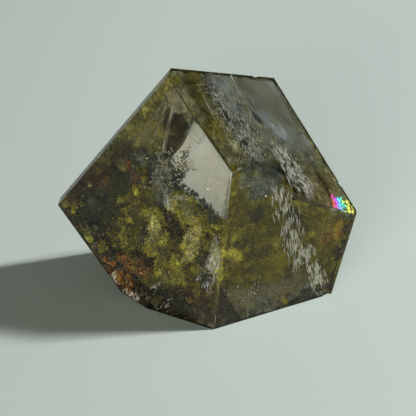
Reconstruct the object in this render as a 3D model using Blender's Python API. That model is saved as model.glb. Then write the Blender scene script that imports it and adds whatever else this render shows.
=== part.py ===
"""A palm-sized freeform of garden quartz: one solid crystal, cut and polished
into eleven flat facets, with softly broken edges and three small chips."""

import math

import bmesh
import bpy
from mathutils import Vector

MM = 0.001

# The rough block that the facets are cut from, centred on the stone's middle.
ROUGH_HALF = 60 * MM

# Each facet: bearing of its outward normal from +X (degrees), its tilt above
# the horizontal (degrees), and its distance from the middle of the base (mm).
FACETS = {
    "front_left": (241.9, 11.7, 12.72),
    "front_right": (296.9, 6.4, 14.03),
    "upper": (331.5, 45.9, 25.90),
    "left_strip": (174.5, 35.5, 28.53),
    "top_back": (115.8, 23.3, 18.74),
    "right_back": (45.4, 0.5, 17.39),
    "back": (104.3, 5.3, 12.48),
    "low_right": (17.1, -19.4, 17.86),
    "under_left": (166.9, -45.8, 7.78),
    "heel": (202.5, -64.3, 5.58),
    "base": (0.0, -90.0, 0.0),
}

# The polished edges are broken by a narrow round.
EDGE_BREAK = 0.20 * MM
EDGE_SEGMENTS = 2
EDGE_ANGLE = math.radians(12)

# Each chip: where it sits on an edge (mm), the way it opens, the radius of
# its scoop (mm) and how deep it goes (mm).
CHIPS = {
    "chip_top_edge": ((8.2, 10.4, 33.9), (0.35, 0.25, 0.90), 0.85, 0.32),
    "chip_right_edge": ((22.3, 1.7, 17.9), (0.90, 0.05, 0.42), 0.80, 0.22),
    "chip_foot": ((20.2, -5.7, 0.5), (0.80, -0.35, -0.45), 0.80, 0.35),
}

TINT = (0.86, 0.86, 0.74, 1.0)
QUARTZ_IOR = 1.544


def clear_scene():
    """Removes whatever the scene starts with."""
    for obj in list(bpy.data.objects):
        bpy.data.objects.remove(obj, do_unlink=True)


def facet_normal(bearing, tilt):
    """The outward unit normal of a facet from its bearing and tilt in degrees."""
    turn, rise = math.radians(bearing), math.radians(tilt)
    return Vector(
        (math.cos(turn) * math.cos(rise), math.sin(turn) * math.cos(rise), math.sin(rise))
    )


def cut_facet(mesh, normal, distance):
    """Cuts everything beyond one facet plane away and closes the cut."""
    found = mesh.verts[:] + mesh.edges[:] + mesh.faces[:]
    cut = bmesh.ops.bisect_plane(
        mesh, geom=found, dist=1e-7, plane_co=normal * distance, plane_no=normal, clear_outer=True
    )
    rim = [item for item in cut["geom_cut"] if isinstance(item, bmesh.types.BMEdge)]
    if rim:
        bmesh.ops.edgeloop_fill(mesh, edges=rim)


def centre_on_base(mesh):
    """Moves the stone so that its box stands centred on the origin, base at zero."""
    low = [min(v.co[axis] for v in mesh.verts) for axis in range(3)]
    high = [max(v.co[axis] for v in mesh.verts) for axis in range(3)]
    middle = Vector(((low[0] + high[0]) / 2, (low[1] + high[1]) / 2, low[2]))
    bmesh.ops.translate(mesh, vec=-middle, verts=mesh.verts[:])


def garden_quartz_material():
    """Clear quartz with a faint smoky olive tint."""
    material = bpy.data.materials.new("garden_quartz")
    material.use_nodes = True
    surface = material.node_tree.nodes["Principled BSDF"]
    surface.inputs["Base Color"].default_value = TINT
    surface.inputs["Roughness"].default_value = 0.02
    surface.inputs["IOR"].default_value = QUARTZ_IOR
    surface.inputs["Transmission Weight"].default_value = 1.0
    return material


def add_mesh_object(name, mesh):
    """Turns a working mesh into a named object in the scene."""
    bmesh.ops.recalc_face_normals(mesh, faces=mesh.faces[:])
    data = bpy.data.meshes.new(name)
    mesh.to_mesh(data)
    mesh.free()
    obj = bpy.data.objects.new(name, data)
    bpy.context.scene.collection.objects.link(obj)
    return obj


def faceted_block():
    """The stone's body, cut facet by facet out of the rough block."""
    mesh = bmesh.new()
    bmesh.ops.create_cube(mesh, size=2 * ROUGH_HALF)
    for bearing, tilt, distance in FACETS.values():
        cut_facet(mesh, facet_normal(bearing, tilt), distance * MM)
    bmesh.ops.remove_doubles(mesh, verts=mesh.verts[:], dist=1e-6)
    centre_on_base(mesh)
    return add_mesh_object("quartz_freeform", mesh)


def break_edges(stone):
    """Rounds the polished edges a little."""
    bevel = stone.modifiers.new("edge_break", "BEVEL")
    bevel.width = EDGE_BREAK
    bevel.segments = EDGE_SEGMENTS
    bevel.limit_method = "ANGLE"
    bevel.angle_limit = EDGE_ANGLE


def chip_cutter(name, place, opening, radius, depth):
    """A small ball that scoops one shell-shaped chip out of an edge."""
    outward = Vector(opening).normalized()
    mesh = bmesh.new()
    bmesh.ops.create_icosphere(mesh, subdivisions=3, radius=radius * MM)
    centre = Vector(place) * MM + outward * (radius - depth) * MM
    bmesh.ops.translate(mesh, vec=centre, verts=mesh.verts[:])
    cutter = add_mesh_object(name, mesh)
    cutter.hide_render = True
    cutter.display_type = "WIRE"
    return cutter


def knock_chips(stone):
    """Takes the small chips out of the edges."""
    for name, (place, opening, radius, depth) in CHIPS.items():
        chip = stone.modifiers.new(name, "BOOLEAN")
        chip.operation = "DIFFERENCE"
        chip.solver = "EXACT"
        chip.object = chip_cutter(name, place, opening, radius, depth)


def main():
    clear_scene()
    stone = faceted_block()
    stone.data.materials.append(garden_quartz_material())
    break_edges(stone)
    knock_chips(stone)


main()
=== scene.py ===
"""The look of a polished garden quartz freeform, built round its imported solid.

The stone is one clear crystal. What is seen in it are mineral growths: mossy
chlorite in greens and browns, rusty iron stains, loose grains, veils of small
pale flakes, fine needles, and one crack that splits light into colours. Places
and sizes are in millimetres, apart from those given as a number times MM, which
are in metres, and the lamps' and the floor's sizes.
"""

from __future__ import annotations

import logging
import math
from dataclasses import dataclass, field
from enum import Enum
from functools import cache, reduce

import bpy
import numpy as np
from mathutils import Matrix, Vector

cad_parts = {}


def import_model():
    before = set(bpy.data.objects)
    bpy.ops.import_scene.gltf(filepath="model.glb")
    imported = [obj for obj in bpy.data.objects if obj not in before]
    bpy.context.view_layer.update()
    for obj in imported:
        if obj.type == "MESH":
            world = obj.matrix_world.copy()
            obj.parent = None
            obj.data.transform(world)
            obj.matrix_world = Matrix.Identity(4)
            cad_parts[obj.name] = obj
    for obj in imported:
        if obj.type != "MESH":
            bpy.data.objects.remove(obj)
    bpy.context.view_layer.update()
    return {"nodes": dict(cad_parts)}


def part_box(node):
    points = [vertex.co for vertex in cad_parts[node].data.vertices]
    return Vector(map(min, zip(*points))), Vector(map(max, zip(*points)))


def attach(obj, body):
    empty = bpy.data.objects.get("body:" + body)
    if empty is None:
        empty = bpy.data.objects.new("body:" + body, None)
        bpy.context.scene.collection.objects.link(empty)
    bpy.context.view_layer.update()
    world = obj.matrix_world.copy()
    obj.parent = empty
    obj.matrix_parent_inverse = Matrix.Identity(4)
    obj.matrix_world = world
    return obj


LOG = logging.getLogger("garden_quartz")
MM = 0.001
NODE = "quartz_freeform"
BODY = "root"
WHITE = (1.0, 1.0, 1.0)
NOISE_MEAN = 0.5
NO_TURN = (0.0, 0.0, 0.0)
FULL_TURN = (6.28, 6.28, 6.28)
MOTTLE_SPAN = (0.3, 0.7)
SPECKLE_SPAN = (0.12, 0.42)
STAIN_SPAN = (0.5, 1.15)

Triple = tuple[float, float, float]
Pair = tuple[float, float]
Colour = tuple[float, float, float]
Node = bpy.types.Node
Socket = bpy.types.NodeSocket
Sockets = bpy.types.bpy_prop_collection


def rgba(colour: Colour) -> tuple[float, float, float, float]:
    """The opaque colour, as a colour socket takes it."""
    return (*colour, 1.0)


# ---------------------------------------------------------------- node helpers


class NodeSketch:
    """Adds, sets and links nodes in one geometry or shader tree."""

    def __init__(self, tree: bpy.types.NodeTree) -> None:
        """Keeps the tree that the nodes go into."""
        self.tree = tree

    def add(self, kind: str, inputs: dict | None = None, **settings: object) -> Node:
        """Adds one node.

        Args:
            kind: The node's type name.
            inputs: Socket name or number to a value or to another node's output.
            **settings: The node's own properties.

        Returns:
            The new node.
        """
        node = self.tree.nodes.new(kind)
        for name, value in settings.items():
            setattr(node, name, value)
        self.feed(node, inputs or {})
        return node

    def feed(self, node: Node, inputs: dict) -> None:
        """Links or sets inputs of a node.

        Args:
            node: The node.
            inputs: Socket name or number to a value or to another node's output.
        """
        for key, value in inputs.items():
            if isinstance(value, Socket):
                self.tree.links.new(value, node.inputs[key])
            else:
                node.inputs[key].default_value = value

    def maths(self, operation: str, *values: object, clamp: bool = False) -> Socket:
        """The result of a Math node over plain values or outputs, held in 0 to 1 by clamp."""
        inputs = dict(enumerate(values))
        return self.add("ShaderNodeMath", inputs, operation=operation, use_clamp=clamp).outputs[0]

    def vector(self, operation: str, *values: object) -> Socket:
        """A Vector Math node.

        Args:
            operation: What it does.
            *values: Plain values or outputs.

        Returns:
            Its vector, or its number where that is the result.
        """
        inputs = dict(enumerate(values))
        if operation == "SCALE":
            inputs = {0: values[0], "Scale": values[1]}
        node = self.add("ShaderNodeVectorMath", inputs, operation=operation)
        scalar = operation in ("LENGTH", "DOT_PRODUCT", "DISTANCE")
        return node.outputs["Value" if scalar else "Vector"]

    def fold(self, operation: str, values: list[Socket], *more: float) -> Socket:
        """The values joined two at a time by Math nodes that share the further inputs."""
        return reduce(lambda whole, value: self.maths(operation, whole, value, *more), values)

    def noise(self, where: object, scale: float, detail: float = 2.0, rough: float = 0.5,
              coloured: bool = False) -> Socket:
        """A noise texture's value at a place, or its colour where three values are wanted."""
        inputs = {"Vector": where, "Scale": scale, "Detail": detail, "Roughness": rough}
        return self.add("ShaderNodeTexNoise", inputs).outputs[1 if coloured else 0]

    def stray(self, where: object, scale: float, detail: float, rough: float = 0.5) -> Socket:
        """A smooth random value about nought, looked up as noise is."""
        return self.maths("SUBTRACT", self.noise(where, scale, detail, rough), NOISE_MEAN)

    def drift(self, where: object, scale: float, detail: float, reach: float) -> Socket:
        """A smooth random offset about nought, up to half of reach, looked up as noise is."""
        colour = self.noise(where, scale, detail, coloured=True)
        return self.vector("SCALE", self.vector("SUBTRACT", colour, (NOISE_MEAN,) * 3), reach)

    def span(self, value: object, low: float, high: float, to_low: float = 0.0,
             to_high: float = 1.0, smooth: bool = False) -> Socket:
        """Carries a value from one range to another and holds it there.

        Args:
            value: The value.
            low: The first range's start.
            high: The first range's end.
            to_low: The second range's start.
            to_high: The second range's end.
            smooth: Whether the ends are eased.

        Returns:
            The value in the second range.
        """
        kind = "SMOOTHSTEP" if smooth else "LINEAR"
        inputs = {0: value, 1: low, 2: high, 3: to_low, 4: to_high}
        return self.add("ShaderNodeMapRange", inputs, interpolation_type=kind).outputs[0]

    def mix(self, share: object, first: object, second: object, places: bool = False) -> Socket:
        """Mixes two colours, or two places.

        Args:
            share: The second's share.
            first: The first colour or place.
            second: The second.
            places: Whether they are places.

        Returns:
            The mixture.
        """
        slot, kind, result = (4, "VECTOR", 1) if places else (6, "RGBA", 2)
        inputs = {0: share, slot: first, slot + 1: second}
        return self.add("ShaderNodeMix", inputs, data_type=kind).outputs[result]

    def store(self, geometry: Socket, name: str, value: Socket, domain: str = "POINT") -> Socket:
        """Stores a number on a geometry.

        Args:
            geometry: The geometry.
            name: The number's name.
            value: The number.
            domain: What carries it: each point or each instance.

        Returns:
            The geometry with the number.
        """
        inputs = {"Geometry": geometry, "Name": name, "Value": value}
        return self.add("GeometryNodeStoreNamedAttribute", inputs, data_type="FLOAT",
                        domain=domain).outputs[0]

    def move(self, geometry: Socket, **inputs: Socket) -> Socket:
        """The geometry with its points moved by an Offset or to a Position."""
        return self.add("GeometryNodeSetPosition", {"Geometry": geometry, **inputs}).outputs[0]

    def drop(self, points: Socket, *masks: Socket) -> Socket:
        """The points that are left when those that any mask picks are taken away."""
        inputs = {"Geometry": points, "Selection": self.fold("MAXIMUM", list(masks))}
        return self.add("GeometryNodeDeleteGeometry", inputs, domain="POINT").outputs[0]

    def copies(self, points: Socket, shape: Node, turn: Node, size: Socket) -> Socket:
        """Puts a copy of a shape on each point.

        Args:
            points: The points.
            shape: The node that makes the shape.
            turn: The node that turns each copy.
            size: Each copy's size, a factor or a vector.

        Returns:
            The instances.
        """
        inputs = {"Points": points, "Instance": shape.outputs[0], "Rotation": turn.outputs[0],
                  "Scale": size}
        return self.add("GeometryNodeInstanceOnPoints", inputs).outputs[0]

    def smooth(self, geometry: Socket) -> Socket:
        """The geometry with smooth shading."""
        return self.add("GeometryNodeSetShadeSmooth", {"Geometry": geometry}).outputs[0]

    def place(self) -> Socket:
        """The position in millimetres, in a geometry tree."""
        return self.vector("SCALE", self.add("GeometryNodeInputPosition").outputs[0], 1.0 / MM)

    def own_place(self) -> Socket:
        """The piece's own coordinates in millimetres, in a shader tree."""
        return self.vector("SCALE", self.add("ShaderNodeTexCoord").outputs["Object"], 1.0 / MM)

    def attribute(self, name: str) -> Socket:
        """A number that a geometry tree has stored, read in a shader tree."""
        return self.add("ShaderNodeAttribute", attribute_name=name).outputs["Fac"]


class TreeKind(Enum):
    """What a node group is for."""

    SHADER = "ShaderNodeTree"
    GEOMETRY = "GeometryNodeTree"


def start_group(name: str, kind: TreeKind, inputs: dict[str, str],
                outputs: dict[str, str]) -> tuple[NodeSketch, Sockets, Node]:
    """Starts a node group.

    Args:
        name: The group's name.
        kind: What it is for.
        inputs: Input names to socket types.
        outputs: Output names to socket types.

    Returns:
        The sketch, the group's inputs by name and its output node.
    """
    tree = bpy.data.node_groups.new(name, kind.value)
    for way, sockets in (("OUTPUT", outputs), ("INPUT", inputs)):
        for label, socket in sockets.items():
            tree.interface.new_socket(label, in_out=way, socket_type="NodeSocket" + socket)
    sketch = NodeSketch(tree)
    return sketch, sketch.add("NodeGroupInput").outputs, sketch.add("NodeGroupOutput")


# -------------------------------------------------------------------- finishes


class Pattern(Enum):
    """The patterns that more than one finish uses: soft uneven patches and small hard specks."""

    MOTTLE = "mottle"
    SPECKLE = "speckle"


def pattern_group(pattern: Pattern) -> bpy.types.NodeTree:
    """The group for a pattern, built the first time that it is asked for.

    Args:
        pattern: Which pattern.

    Returns:
        The group, whose Value is between 0 and 1.
    """
    if pattern.value in bpy.data.node_groups:
        return bpy.data.node_groups[pattern.value]
    inputs = {"Place": "Vector", "Grain": "Float"}
    sketch, given, out = start_group(pattern.value, TreeKind.SHADER, inputs, {"Value": "Float"})
    if pattern is Pattern.MOTTLE:
        patches = sketch.noise(given["Place"], given["Grain"], 5.0, 0.62)
        value = sketch.span(patches, *MOTTLE_SPAN, smooth=True)
    else:
        cells = sketch.add("ShaderNodeTexVoronoi",
                           {"Vector": given["Place"], "Scale": given["Grain"]})
        value = sketch.span(cells.outputs["Distance"], *SPECKLE_SPAN, 1.0, 0.0)
    sketch.feed(out, {"Value": value})
    return sketch.tree


def pattern_value(sketch: NodeSketch, pattern: Pattern, grain_mm: float,
                  shift: float = 0.0) -> Socket:
    """Places a pattern group on the piece's own coordinates.

    Args:
        sketch: The material's sketch.
        pattern: Which pattern.
        grain_mm: The length of one grain of the pattern in millimetres.
        shift: Moves the pattern, so that two finishes differ.

    Returns:
        The pattern's value.
    """
    place = sketch.add("ShaderNodeTexCoord").outputs["Object"]
    moved = sketch.add("ShaderNodeMapping", {"Vector": place, "Location": (shift, shift, shift)})
    inputs = {"Place": moved.outputs[0], "Grain": 1.0 / (grain_mm * MM)}
    return sketch.add("ShaderNodeGroup", inputs, node_tree=pattern_group(pattern)).outputs[0]


@dataclass(frozen=True)
class Finish:
    """A material that is built once, for every piece that has it."""

    name: str

    @cache
    def material(self) -> bpy.types.Material:
        """Builds the material, the first time that a piece asks for it.

        Returns:
            The material.
        """
        material = bpy.data.materials.new(self.name)
        material.use_nodes = True
        tree = material.node_tree
        self.paint(NodeSketch(tree), tree.nodes["Principled BSDF"])
        return material

    def paint(self, sketch: NodeSketch, surface: Node) -> None:
        """Feeds the surface, in each finish's own way.

        Args:
            sketch: The material's sketch.
            surface: Its Principled node.
        """
        raise NotImplementedError


@dataclass(frozen=True)
class ClearQuartz(Finish):
    """Polished clear quartz: smooth faces, a faint tint in depth."""

    name: str = "garden_quartz"
    index: float = 1.544
    tint: Colour = (1.0, 0.86, 0.57)
    density: float = 18.0
    smooth: float = 0.003
    smudge: float = 0.018
    smudge_mm: float = 6.0
    smudge_span: Pair = (0.4, 1.0)
    ripple_mm: float = 9.0
    ripple: float = 0.003

    def paint(self, sketch: NodeSketch, surface: Node) -> None:
        """Feeds the polished face and the tinted depth.

        Args:
            sketch: The material's sketch.
            surface: Its Principled node.
        """
        smudges = pattern_value(sketch, Pattern.MOTTLE, self.smudge_mm)
        height = pattern_value(sketch, Pattern.MOTTLE, self.ripple_mm, shift=0.3)
        bump = sketch.add("ShaderNodeBump",
                          {"Strength": self.ripple, "Distance": MM, "Height": height})
        sketch.feed(surface, {
            "Base Color": rgba(WHITE), "IOR": self.index, "Transmission Weight": 1.0,
            "Roughness": sketch.span(smudges, *self.smudge_span, self.smooth, self.smudge),
            "Normal": bump.outputs[0]})
        depth = sketch.add("ShaderNodeVolumeAbsorption",
                           {"Color": rgba(self.tint), "Density": self.density})
        sketch.feed(sketch.tree.nodes["Material Output"], {"Volume": depth.outputs[0]})


@dataclass(frozen=True)
class Stain:
    """A soft cloud of another colour in a growth, full in its middle."""

    middle: Triple
    reach: Triple
    colour: Colour
    share: float = 1.0

    def lay(self, sketch: NodeSketch, place: Socket, under: Socket) -> Socket:
        """Lays the stain over a colour.

        Args:
            sketch: The material's sketch.
            place: The place in millimetres.
            under: The colour.

        Returns:
            The stained colour.
        """
        inputs = {"Place": place, "Middle": self.middle, "Reach": self.reach, "Under": under,
                  "Colour": rgba(self.colour), "Share": self.share}
        return sketch.add("ShaderNodeGroup", inputs, node_tree=stain_group()).outputs[0]


def stain_group() -> bpy.types.NodeTree:
    """The shader group that lays one stain over a colour, built the first time.

    Returns:
        The group, which is full up to the span's start and gone at its end.
    """
    if "stain" in bpy.data.node_groups:
        return bpy.data.node_groups["stain"]
    inputs = {"Place": "Vector", "Middle": "Vector", "Reach": "Vector", "Under": "Color",
              "Colour": "Color", "Share": "Float"}
    sketch, given, out = start_group("stain", TreeKind.SHADER, inputs, {"Stained": "Color"})
    away = sketch.vector("SUBTRACT", given["Place"], given["Middle"])
    far = sketch.vector("LENGTH", sketch.vector("DIVIDE", away, given["Reach"]))
    mask = sketch.span(far, *STAIN_SPAN, 1.0, 0.0, smooth=True)
    mask = sketch.maths("MULTIPLY", mask, given["Share"])
    sketch.feed(out, {"Stained": sketch.mix(mask, given["Under"], given["Colour"])})
    return sketch.tree


@dataclass(frozen=True)
class MossFinish(Finish):
    """A growth of chlorite, made near black in its pits by painted shade and bright on its lumps by
    a painted highlight.

    The patches mix the body's two colours, the specks and grains roughen its
    height, and the pepper is dark specks that crowd in some places.
    """

    body: Colour
    other: Colour
    # The tip colour is a painted highlight on the highest lumps.
    tip: Colour
    stains: tuple[Stain, ...] = ()
    patch_mm: float = 6.0
    # The pit and top tones scale the colour down in the pits as painted shade and up on the lumps
    # as a painted highlight.
    pit_shade_tone: float = 0.10
    top_highlight_tone: float = 1.9
    sway_mm: float = 3.0
    sway_scale: float = 0.35
    grain_mm: float = 0.5
    grain: float = 0.35
    speck_mm: float = 0.22
    speck: float = 0.6
    mean_rough: float = 0.47
    pepper_mm: float = 0.34
    pepper: float = 0.55
    crowd_mm: float = 1.8
    crowd: Pair = (0.35, 0.75)
    shade_highlight_heights: Pair = (0.1, 1.25)
    highlight_heights: Pair = (0.95, 1.45)
    highlight_share: float = 0.7

    def hue(self, sketch: NodeSketch) -> Socket:
        """The growth's colour with its stains, before the painted shade and the painted highlight
        are laid on it.

        Args:
            sketch: The material's sketch.

        Returns:
            The colour.
        """
        place = sketch.own_place()
        sway = sketch.drift(place, self.sway_scale, 3.0, 2.0 * self.sway_mm)
        bent = sketch.vector("ADD", place, sway)
        patch = pattern_value(sketch, Pattern.MOTTLE, self.patch_mm, shift=0.7)
        hue = sketch.mix(patch, rgba(self.body), rgba(self.other))
        for stain in self.stains:
            hue = stain.lay(sketch, bent, hue)
        return hue

    def paint(self, sketch: NodeSketch, surface: Node) -> None:
        """Feeds the surface: the hue, darkened in pits as painted shade and paled on the highest
        lumps as a painted highlight.

        Args:
            sketch: The material's sketch.
            surface: Its Principled node.
        """
        hue = self.hue(sketch)
        grain = pattern_value(sketch, Pattern.MOTTLE, self.grain_mm, shift=0.1)
        speck = pattern_value(sketch, Pattern.MOTTLE, self.speck_mm, shift=0.4)
        rough = sketch.maths("MULTIPLY_ADD", speck, self.speck,
                             sketch.maths("MULTIPLY", grain, self.grain))
        rough = sketch.maths("SUBTRACT", rough, self.mean_rough)
        height = sketch.maths("ADD", sketch.attribute("lump"), rough)
        # Painted shade and highlight: darker where the relief is low, brighter where it is high.
        tone = sketch.span(height, *self.shade_highlight_heights, self.pit_shade_tone, self.top_highlight_tone, smooth=True)
        crowd = pattern_value(sketch, Pattern.MOTTLE, self.crowd_mm, shift=0.5)
        crowd = sketch.span(crowd, *self.crowd, 0.0, self.pepper)
        dots = pattern_value(sketch, Pattern.SPECKLE, self.pepper_mm, shift=0.9)
        bare = sketch.maths("SUBTRACT", 1.0, sketch.maths("MULTIPLY", dots, crowd))
        toned = sketch.vector("SCALE", hue, sketch.maths("MULTIPLY", tone, bare))
        # Painted highlight: the tip colour on the highest lumps.
        highlights = sketch.span(height, *self.highlight_heights, 0.0, self.highlight_share)
        sketch.feed(surface, {"Base Color": sketch.mix(highlights, toned, rgba(self.tip)),
                              "Roughness": 0.75, "Specular IOR Level": 0.1})


@dataclass(frozen=True)
class FlakeFinish(Finish):
    """Pale mica-like flakes and needles that catch the light; a finish with a glow shines by
    emission, which is painted light.
    """

    colour: Colour
    dull: Colour
    rough: float = 0.3
    patch_mm: float = 0.7
    glow: float = 0.0

    def paint(self, sketch: NodeSketch, surface: Node) -> None:
        """Feeds the surface: patches of the bright and the dull colour.

        Args:
            sketch: The material's sketch.
            surface: Its Principled node.
        """
        patch = pattern_value(sketch, Pattern.MOTTLE, self.patch_mm, shift=0.2)
        sketch.feed(surface, {
            "Base Color": sketch.mix(patch, rgba(self.dull), rgba(self.colour)),
            "Emission Color": rgba(self.colour), "Emission Strength": self.glow,
            "Roughness": self.rough, "Specular IOR Level": 0.8})


@dataclass(frozen=True)
class FireFinish(Finish):
    """A tight crack that splits light: colours that follow one another across it, with a glow by
    emission that is painted light.
    """

    start_mm: Triple
    across: Triple
    length_mm: float
    glow: float
    stray_scale: float = 1.6
    colours: tuple[Colour, ...] = (
        (0.9, 0.20, 0.05), (0.85, 0.10, 0.55), (0.30, 0.20, 0.90), (0.10, 0.75, 0.85),
        (0.25, 0.85, 0.35), (0.90, 0.85, 0.15))

    def paint(self, sketch: NodeSketch, surface: Node) -> None:
        """Feeds the surface: a ramp of the colours along the crack.

        Args:
            sketch: The material's sketch.
            surface: Its Principled node.
        """
        place = sketch.own_place()
        away = sketch.vector("SUBTRACT", place, self.start_mm)
        along = sketch.maths("DIVIDE", sketch.vector("DOT_PRODUCT", away, self.across),
                             self.length_mm)
        along = sketch.maths("ADD", along, sketch.stray(place, self.stray_scale, 1.0))
        ramp = sketch.add("ShaderNodeValToRGB", {0: along})
        stops = ramp.color_ramp.elements
        ready = len(stops)
        for index, colour in enumerate(self.colours):
            share = index / (len(self.colours) - 1)
            stop = stops[index] if index < ready else stops.new(share)
            stop.position = share
            stop.color = rgba(colour)
        sketch.feed(surface, {"Base Color": ramp.outputs[0], "Emission Color": ramp.outputs[0],
                              "Emission Strength": self.glow, "Roughness": 0.25})


@dataclass(frozen=True)
class HazeFinish(Finish):
    """A cloudy film that is partly see-through. Some films are sheets of painted sheen, reflection,
    highlight and shade.

    Its clouds are drawn out along a direction by the stretch.
    """

    colour: Colour
    other: Colour
    least: float
    most: float
    cloud_mm: float
    along: Triple = (0.0, 0.0, 1.0)
    stretch: float = 1.0
    cloud_span: Pair = (0.32, 0.68)
    hue_scale: float = 0.2
    hue_span: Pair = (0.4, 0.6)

    def paint(self, sketch: NodeSketch, surface: Node) -> None:
        """Feeds the surface: two tints, and clouds that thin out at the film's edges.

        Args:
            sketch: The material's sketch.
            surface: Its Principled node.
        """
        place = sketch.own_place()
        squeeze = sketch.maths("MULTIPLY", sketch.vector("DOT_PRODUCT", place, self.along),
                               1.0 / self.stretch - 1.0)
        drawn = sketch.vector("ADD", place, sketch.vector("SCALE", self.along, squeeze))
        cloud = sketch.noise(drawn, 1.0 / self.cloud_mm, 4.0, 0.55)
        cloud = sketch.span(cloud, *self.cloud_span)
        hue = sketch.span(sketch.noise(place, self.hue_scale, 2.0), *self.hue_span)
        dense = sketch.span(cloud, 0.0, 1.0, self.least, self.most)
        sketch.feed(surface, {
            "Base Color": sketch.mix(hue, rgba(self.colour), rgba(self.other)),
            "Alpha": sketch.maths("MULTIPLY", dense, sketch.attribute("fade")),
            "Roughness": 0.6, "Specular IOR Level": 0.2})


@dataclass(frozen=True)
class FloorFinish(Finish):
    """A plain pale tabletop."""

    name: str = "pale_floor"
    colour: Colour = (0.57, 0.67, 0.68)

    def paint(self, sketch: NodeSketch, surface: Node) -> None:
        """Feeds the surface with one even colour."""
        sketch.feed(surface, {"Base Color": rgba(self.colour), "Roughness": 0.8,
                              "Specular IOR Level": 0.2})


# --------------------------------------------------------------------- the hull


@dataclass
class Hull:
    """The stone's facet planes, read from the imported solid.

    Facets above the least area count. Those above the broad area are broad ones,
    unless they face down. A tucked piece is pressed to the cover's depth, a few
    times over. Areas are in mm2.
    """

    node: bpy.types.Object
    least_area: float
    broad_area: float = 120.0
    cover: float = 0.04
    rounds: int = 4
    press: float = 0.98
    least_triangle: float = 1e-6
    direction_places: int = 2
    base_tilt: float = -0.5
    normals: np.ndarray = field(init=False)
    distances: np.ndarray = field(init=False)
    broad: list[bool] = field(init=False)

    def __post_init__(self) -> None:
        """Groups the solid's triangles into its flat facets, by their directions."""
        mesh = self.node.data
        mesh.calc_loop_triangles()
        points = np.array([v.co for v in mesh.vertices]) / MM
        corners = points[np.array([t.vertices for t in mesh.loop_triangles])]
        cross = np.cross(corners[:, 1] - corners[:, 0], corners[:, 2] - corners[:, 0])
        areas = np.linalg.norm(cross, axis=1) / 2
        sound = areas > self.least_triangle
        corners, areas = corners[sound], areas[sound]
        normals = cross[sound] / (2 * areas[:, None])
        found: dict[tuple, list[int]] = {}
        for index, key in enumerate(np.round(normals, self.direction_places)):
            found.setdefault(tuple(key), []).append(index)
        planes = []
        for members in found.values():
            share = areas[members]
            area = share.sum()
            normal = (normals[members] * share[:, None]).sum(axis=0)
            normal /= np.linalg.norm(normal)
            middle = (corners[members].mean(axis=1) * share[:, None]).sum(axis=0) / area
            bounds_all = (points @ normal).max() < normal @ middle + self.cover
            if area > self.least_area and bounds_all:
                wide = bool(area > self.broad_area and normal[2] > self.base_tilt)
                planes.append((normal, float(normal @ middle), wide))
        self.normals = np.array([plane[0] for plane in planes])
        self.distances = np.array([plane[1] for plane in planes])
        self.broad = [plane[2] for plane in planes]

    def box(self) -> tuple[np.ndarray, np.ndarray]:
        """The solid's lowest and highest corners in millimetres."""
        low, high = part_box(NODE)
        return np.array(low) / MM, np.array(high) / MM

    def depth(self, sketch: NodeSketch, place: Socket, dip: float = 0.0,
              narrow_dip: float = 0.0) -> Socket:
        """The depth in millimetres under the nearest facet, as a node field.

        Args:
            sketch: The tree to add to.
            place: A position in millimetres.
            dip: How far below a broad facet the depth starts from nought.
            narrow_dip: The same for the base and the narrow facets.

        Returns:
            The field, negative outside the stone.
        """
        depths = []
        for normal, distance, broad in zip(self.normals, self.distances, self.broad):
            along = sketch.vector("DOT_PRODUCT", place, tuple(normal))
            start = float(distance) - (dip if broad else narrow_dip)
            depths.append(sketch.maths("SUBTRACT", start, along))
        return sketch.fold("MINIMUM", depths)

    def tuck(self, piece: bpy.types.Object) -> None:
        """Presses the points of a piece that pass a facet, or touch it, back under it.

        Args:
            piece: The piece, at the origin.
        """
        vertices = piece.data.vertices
        flat = np.empty(len(vertices) * 3, np.float32)
        vertices.foreach_get("co", flat)
        points = flat.reshape(-1, 3).astype(float) / MM
        for _ in range(self.rounds):
            for normal, distance in zip(self.normals, self.distances):
                past = np.maximum(points @ normal - distance + self.cover, 0.0)
                points -= self.press * past[:, None] * normal
        vertices.foreach_set("co", (points * MM).astype(np.float32).ravel())
        piece.data.update()


class Facets(Enum):
    """Which facets a hull has, by their least area: the large ones, or every flat one."""

    LARGE = 5.0
    ALL = 0.5


@cache
def hull(facets: Facets) -> Hull:
    """The stone's hull, read once."""
    return Hull(bpy.data.objects[NODE], facets.value)


# ------------------------------------------------------------------ the growths


def start_tree(name: str, inputs: dict[str, str]) -> tuple[NodeSketch, Sockets, Node]:
    """A new geometry tree with named inputs, given and returned as start_group's are."""
    shape = {"Geometry": "Geometry"}
    return start_group(name, TreeKind.GEOMETRY, {**shape, **inputs}, shape)


def chance(sketch: NodeSketch, low: object, high: object, seed: object, pick: int) -> Socket:
    """A random number or vector for each point.

    Args:
        sketch: The geometry tree's sketch.
        low: The least number or vector.
        high: The greatest.
        seed: The tree's seed.
        pick: Tells this draw from the tree's other draws.

    Returns:
        The value.
    """
    kind, first = ("FLOAT_VECTOR", 0) if isinstance(low, tuple) else ("FLOAT", 2)
    node = sketch.add("FunctionNodeRandomValue", data_type=kind)
    drawn = sketch.maths("ADD", seed, pick)
    sketch.feed(node, {first: low, first + 1: high, "Seed": drawn})
    return node.outputs[first // 2]


def any_turn(sketch: NodeSketch, seed: Socket, pick: int) -> Node:
    """A node that turns each copy at random, by the draw that seed and pick name."""
    turn = chance(sketch, NO_TURN, FULL_TURN, seed, pick)
    return sketch.add("FunctionNodeEulerToRotation", {0: turn})


def sliver(sketch: NodeSketch) -> Node:
    """A node that makes the smallest closed grain, 1 mm in radius."""
    return sketch.add("GeometryNodeMeshUVSphere", {"Segments": 4, "Rings": 2, "Radius": MM})


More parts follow.
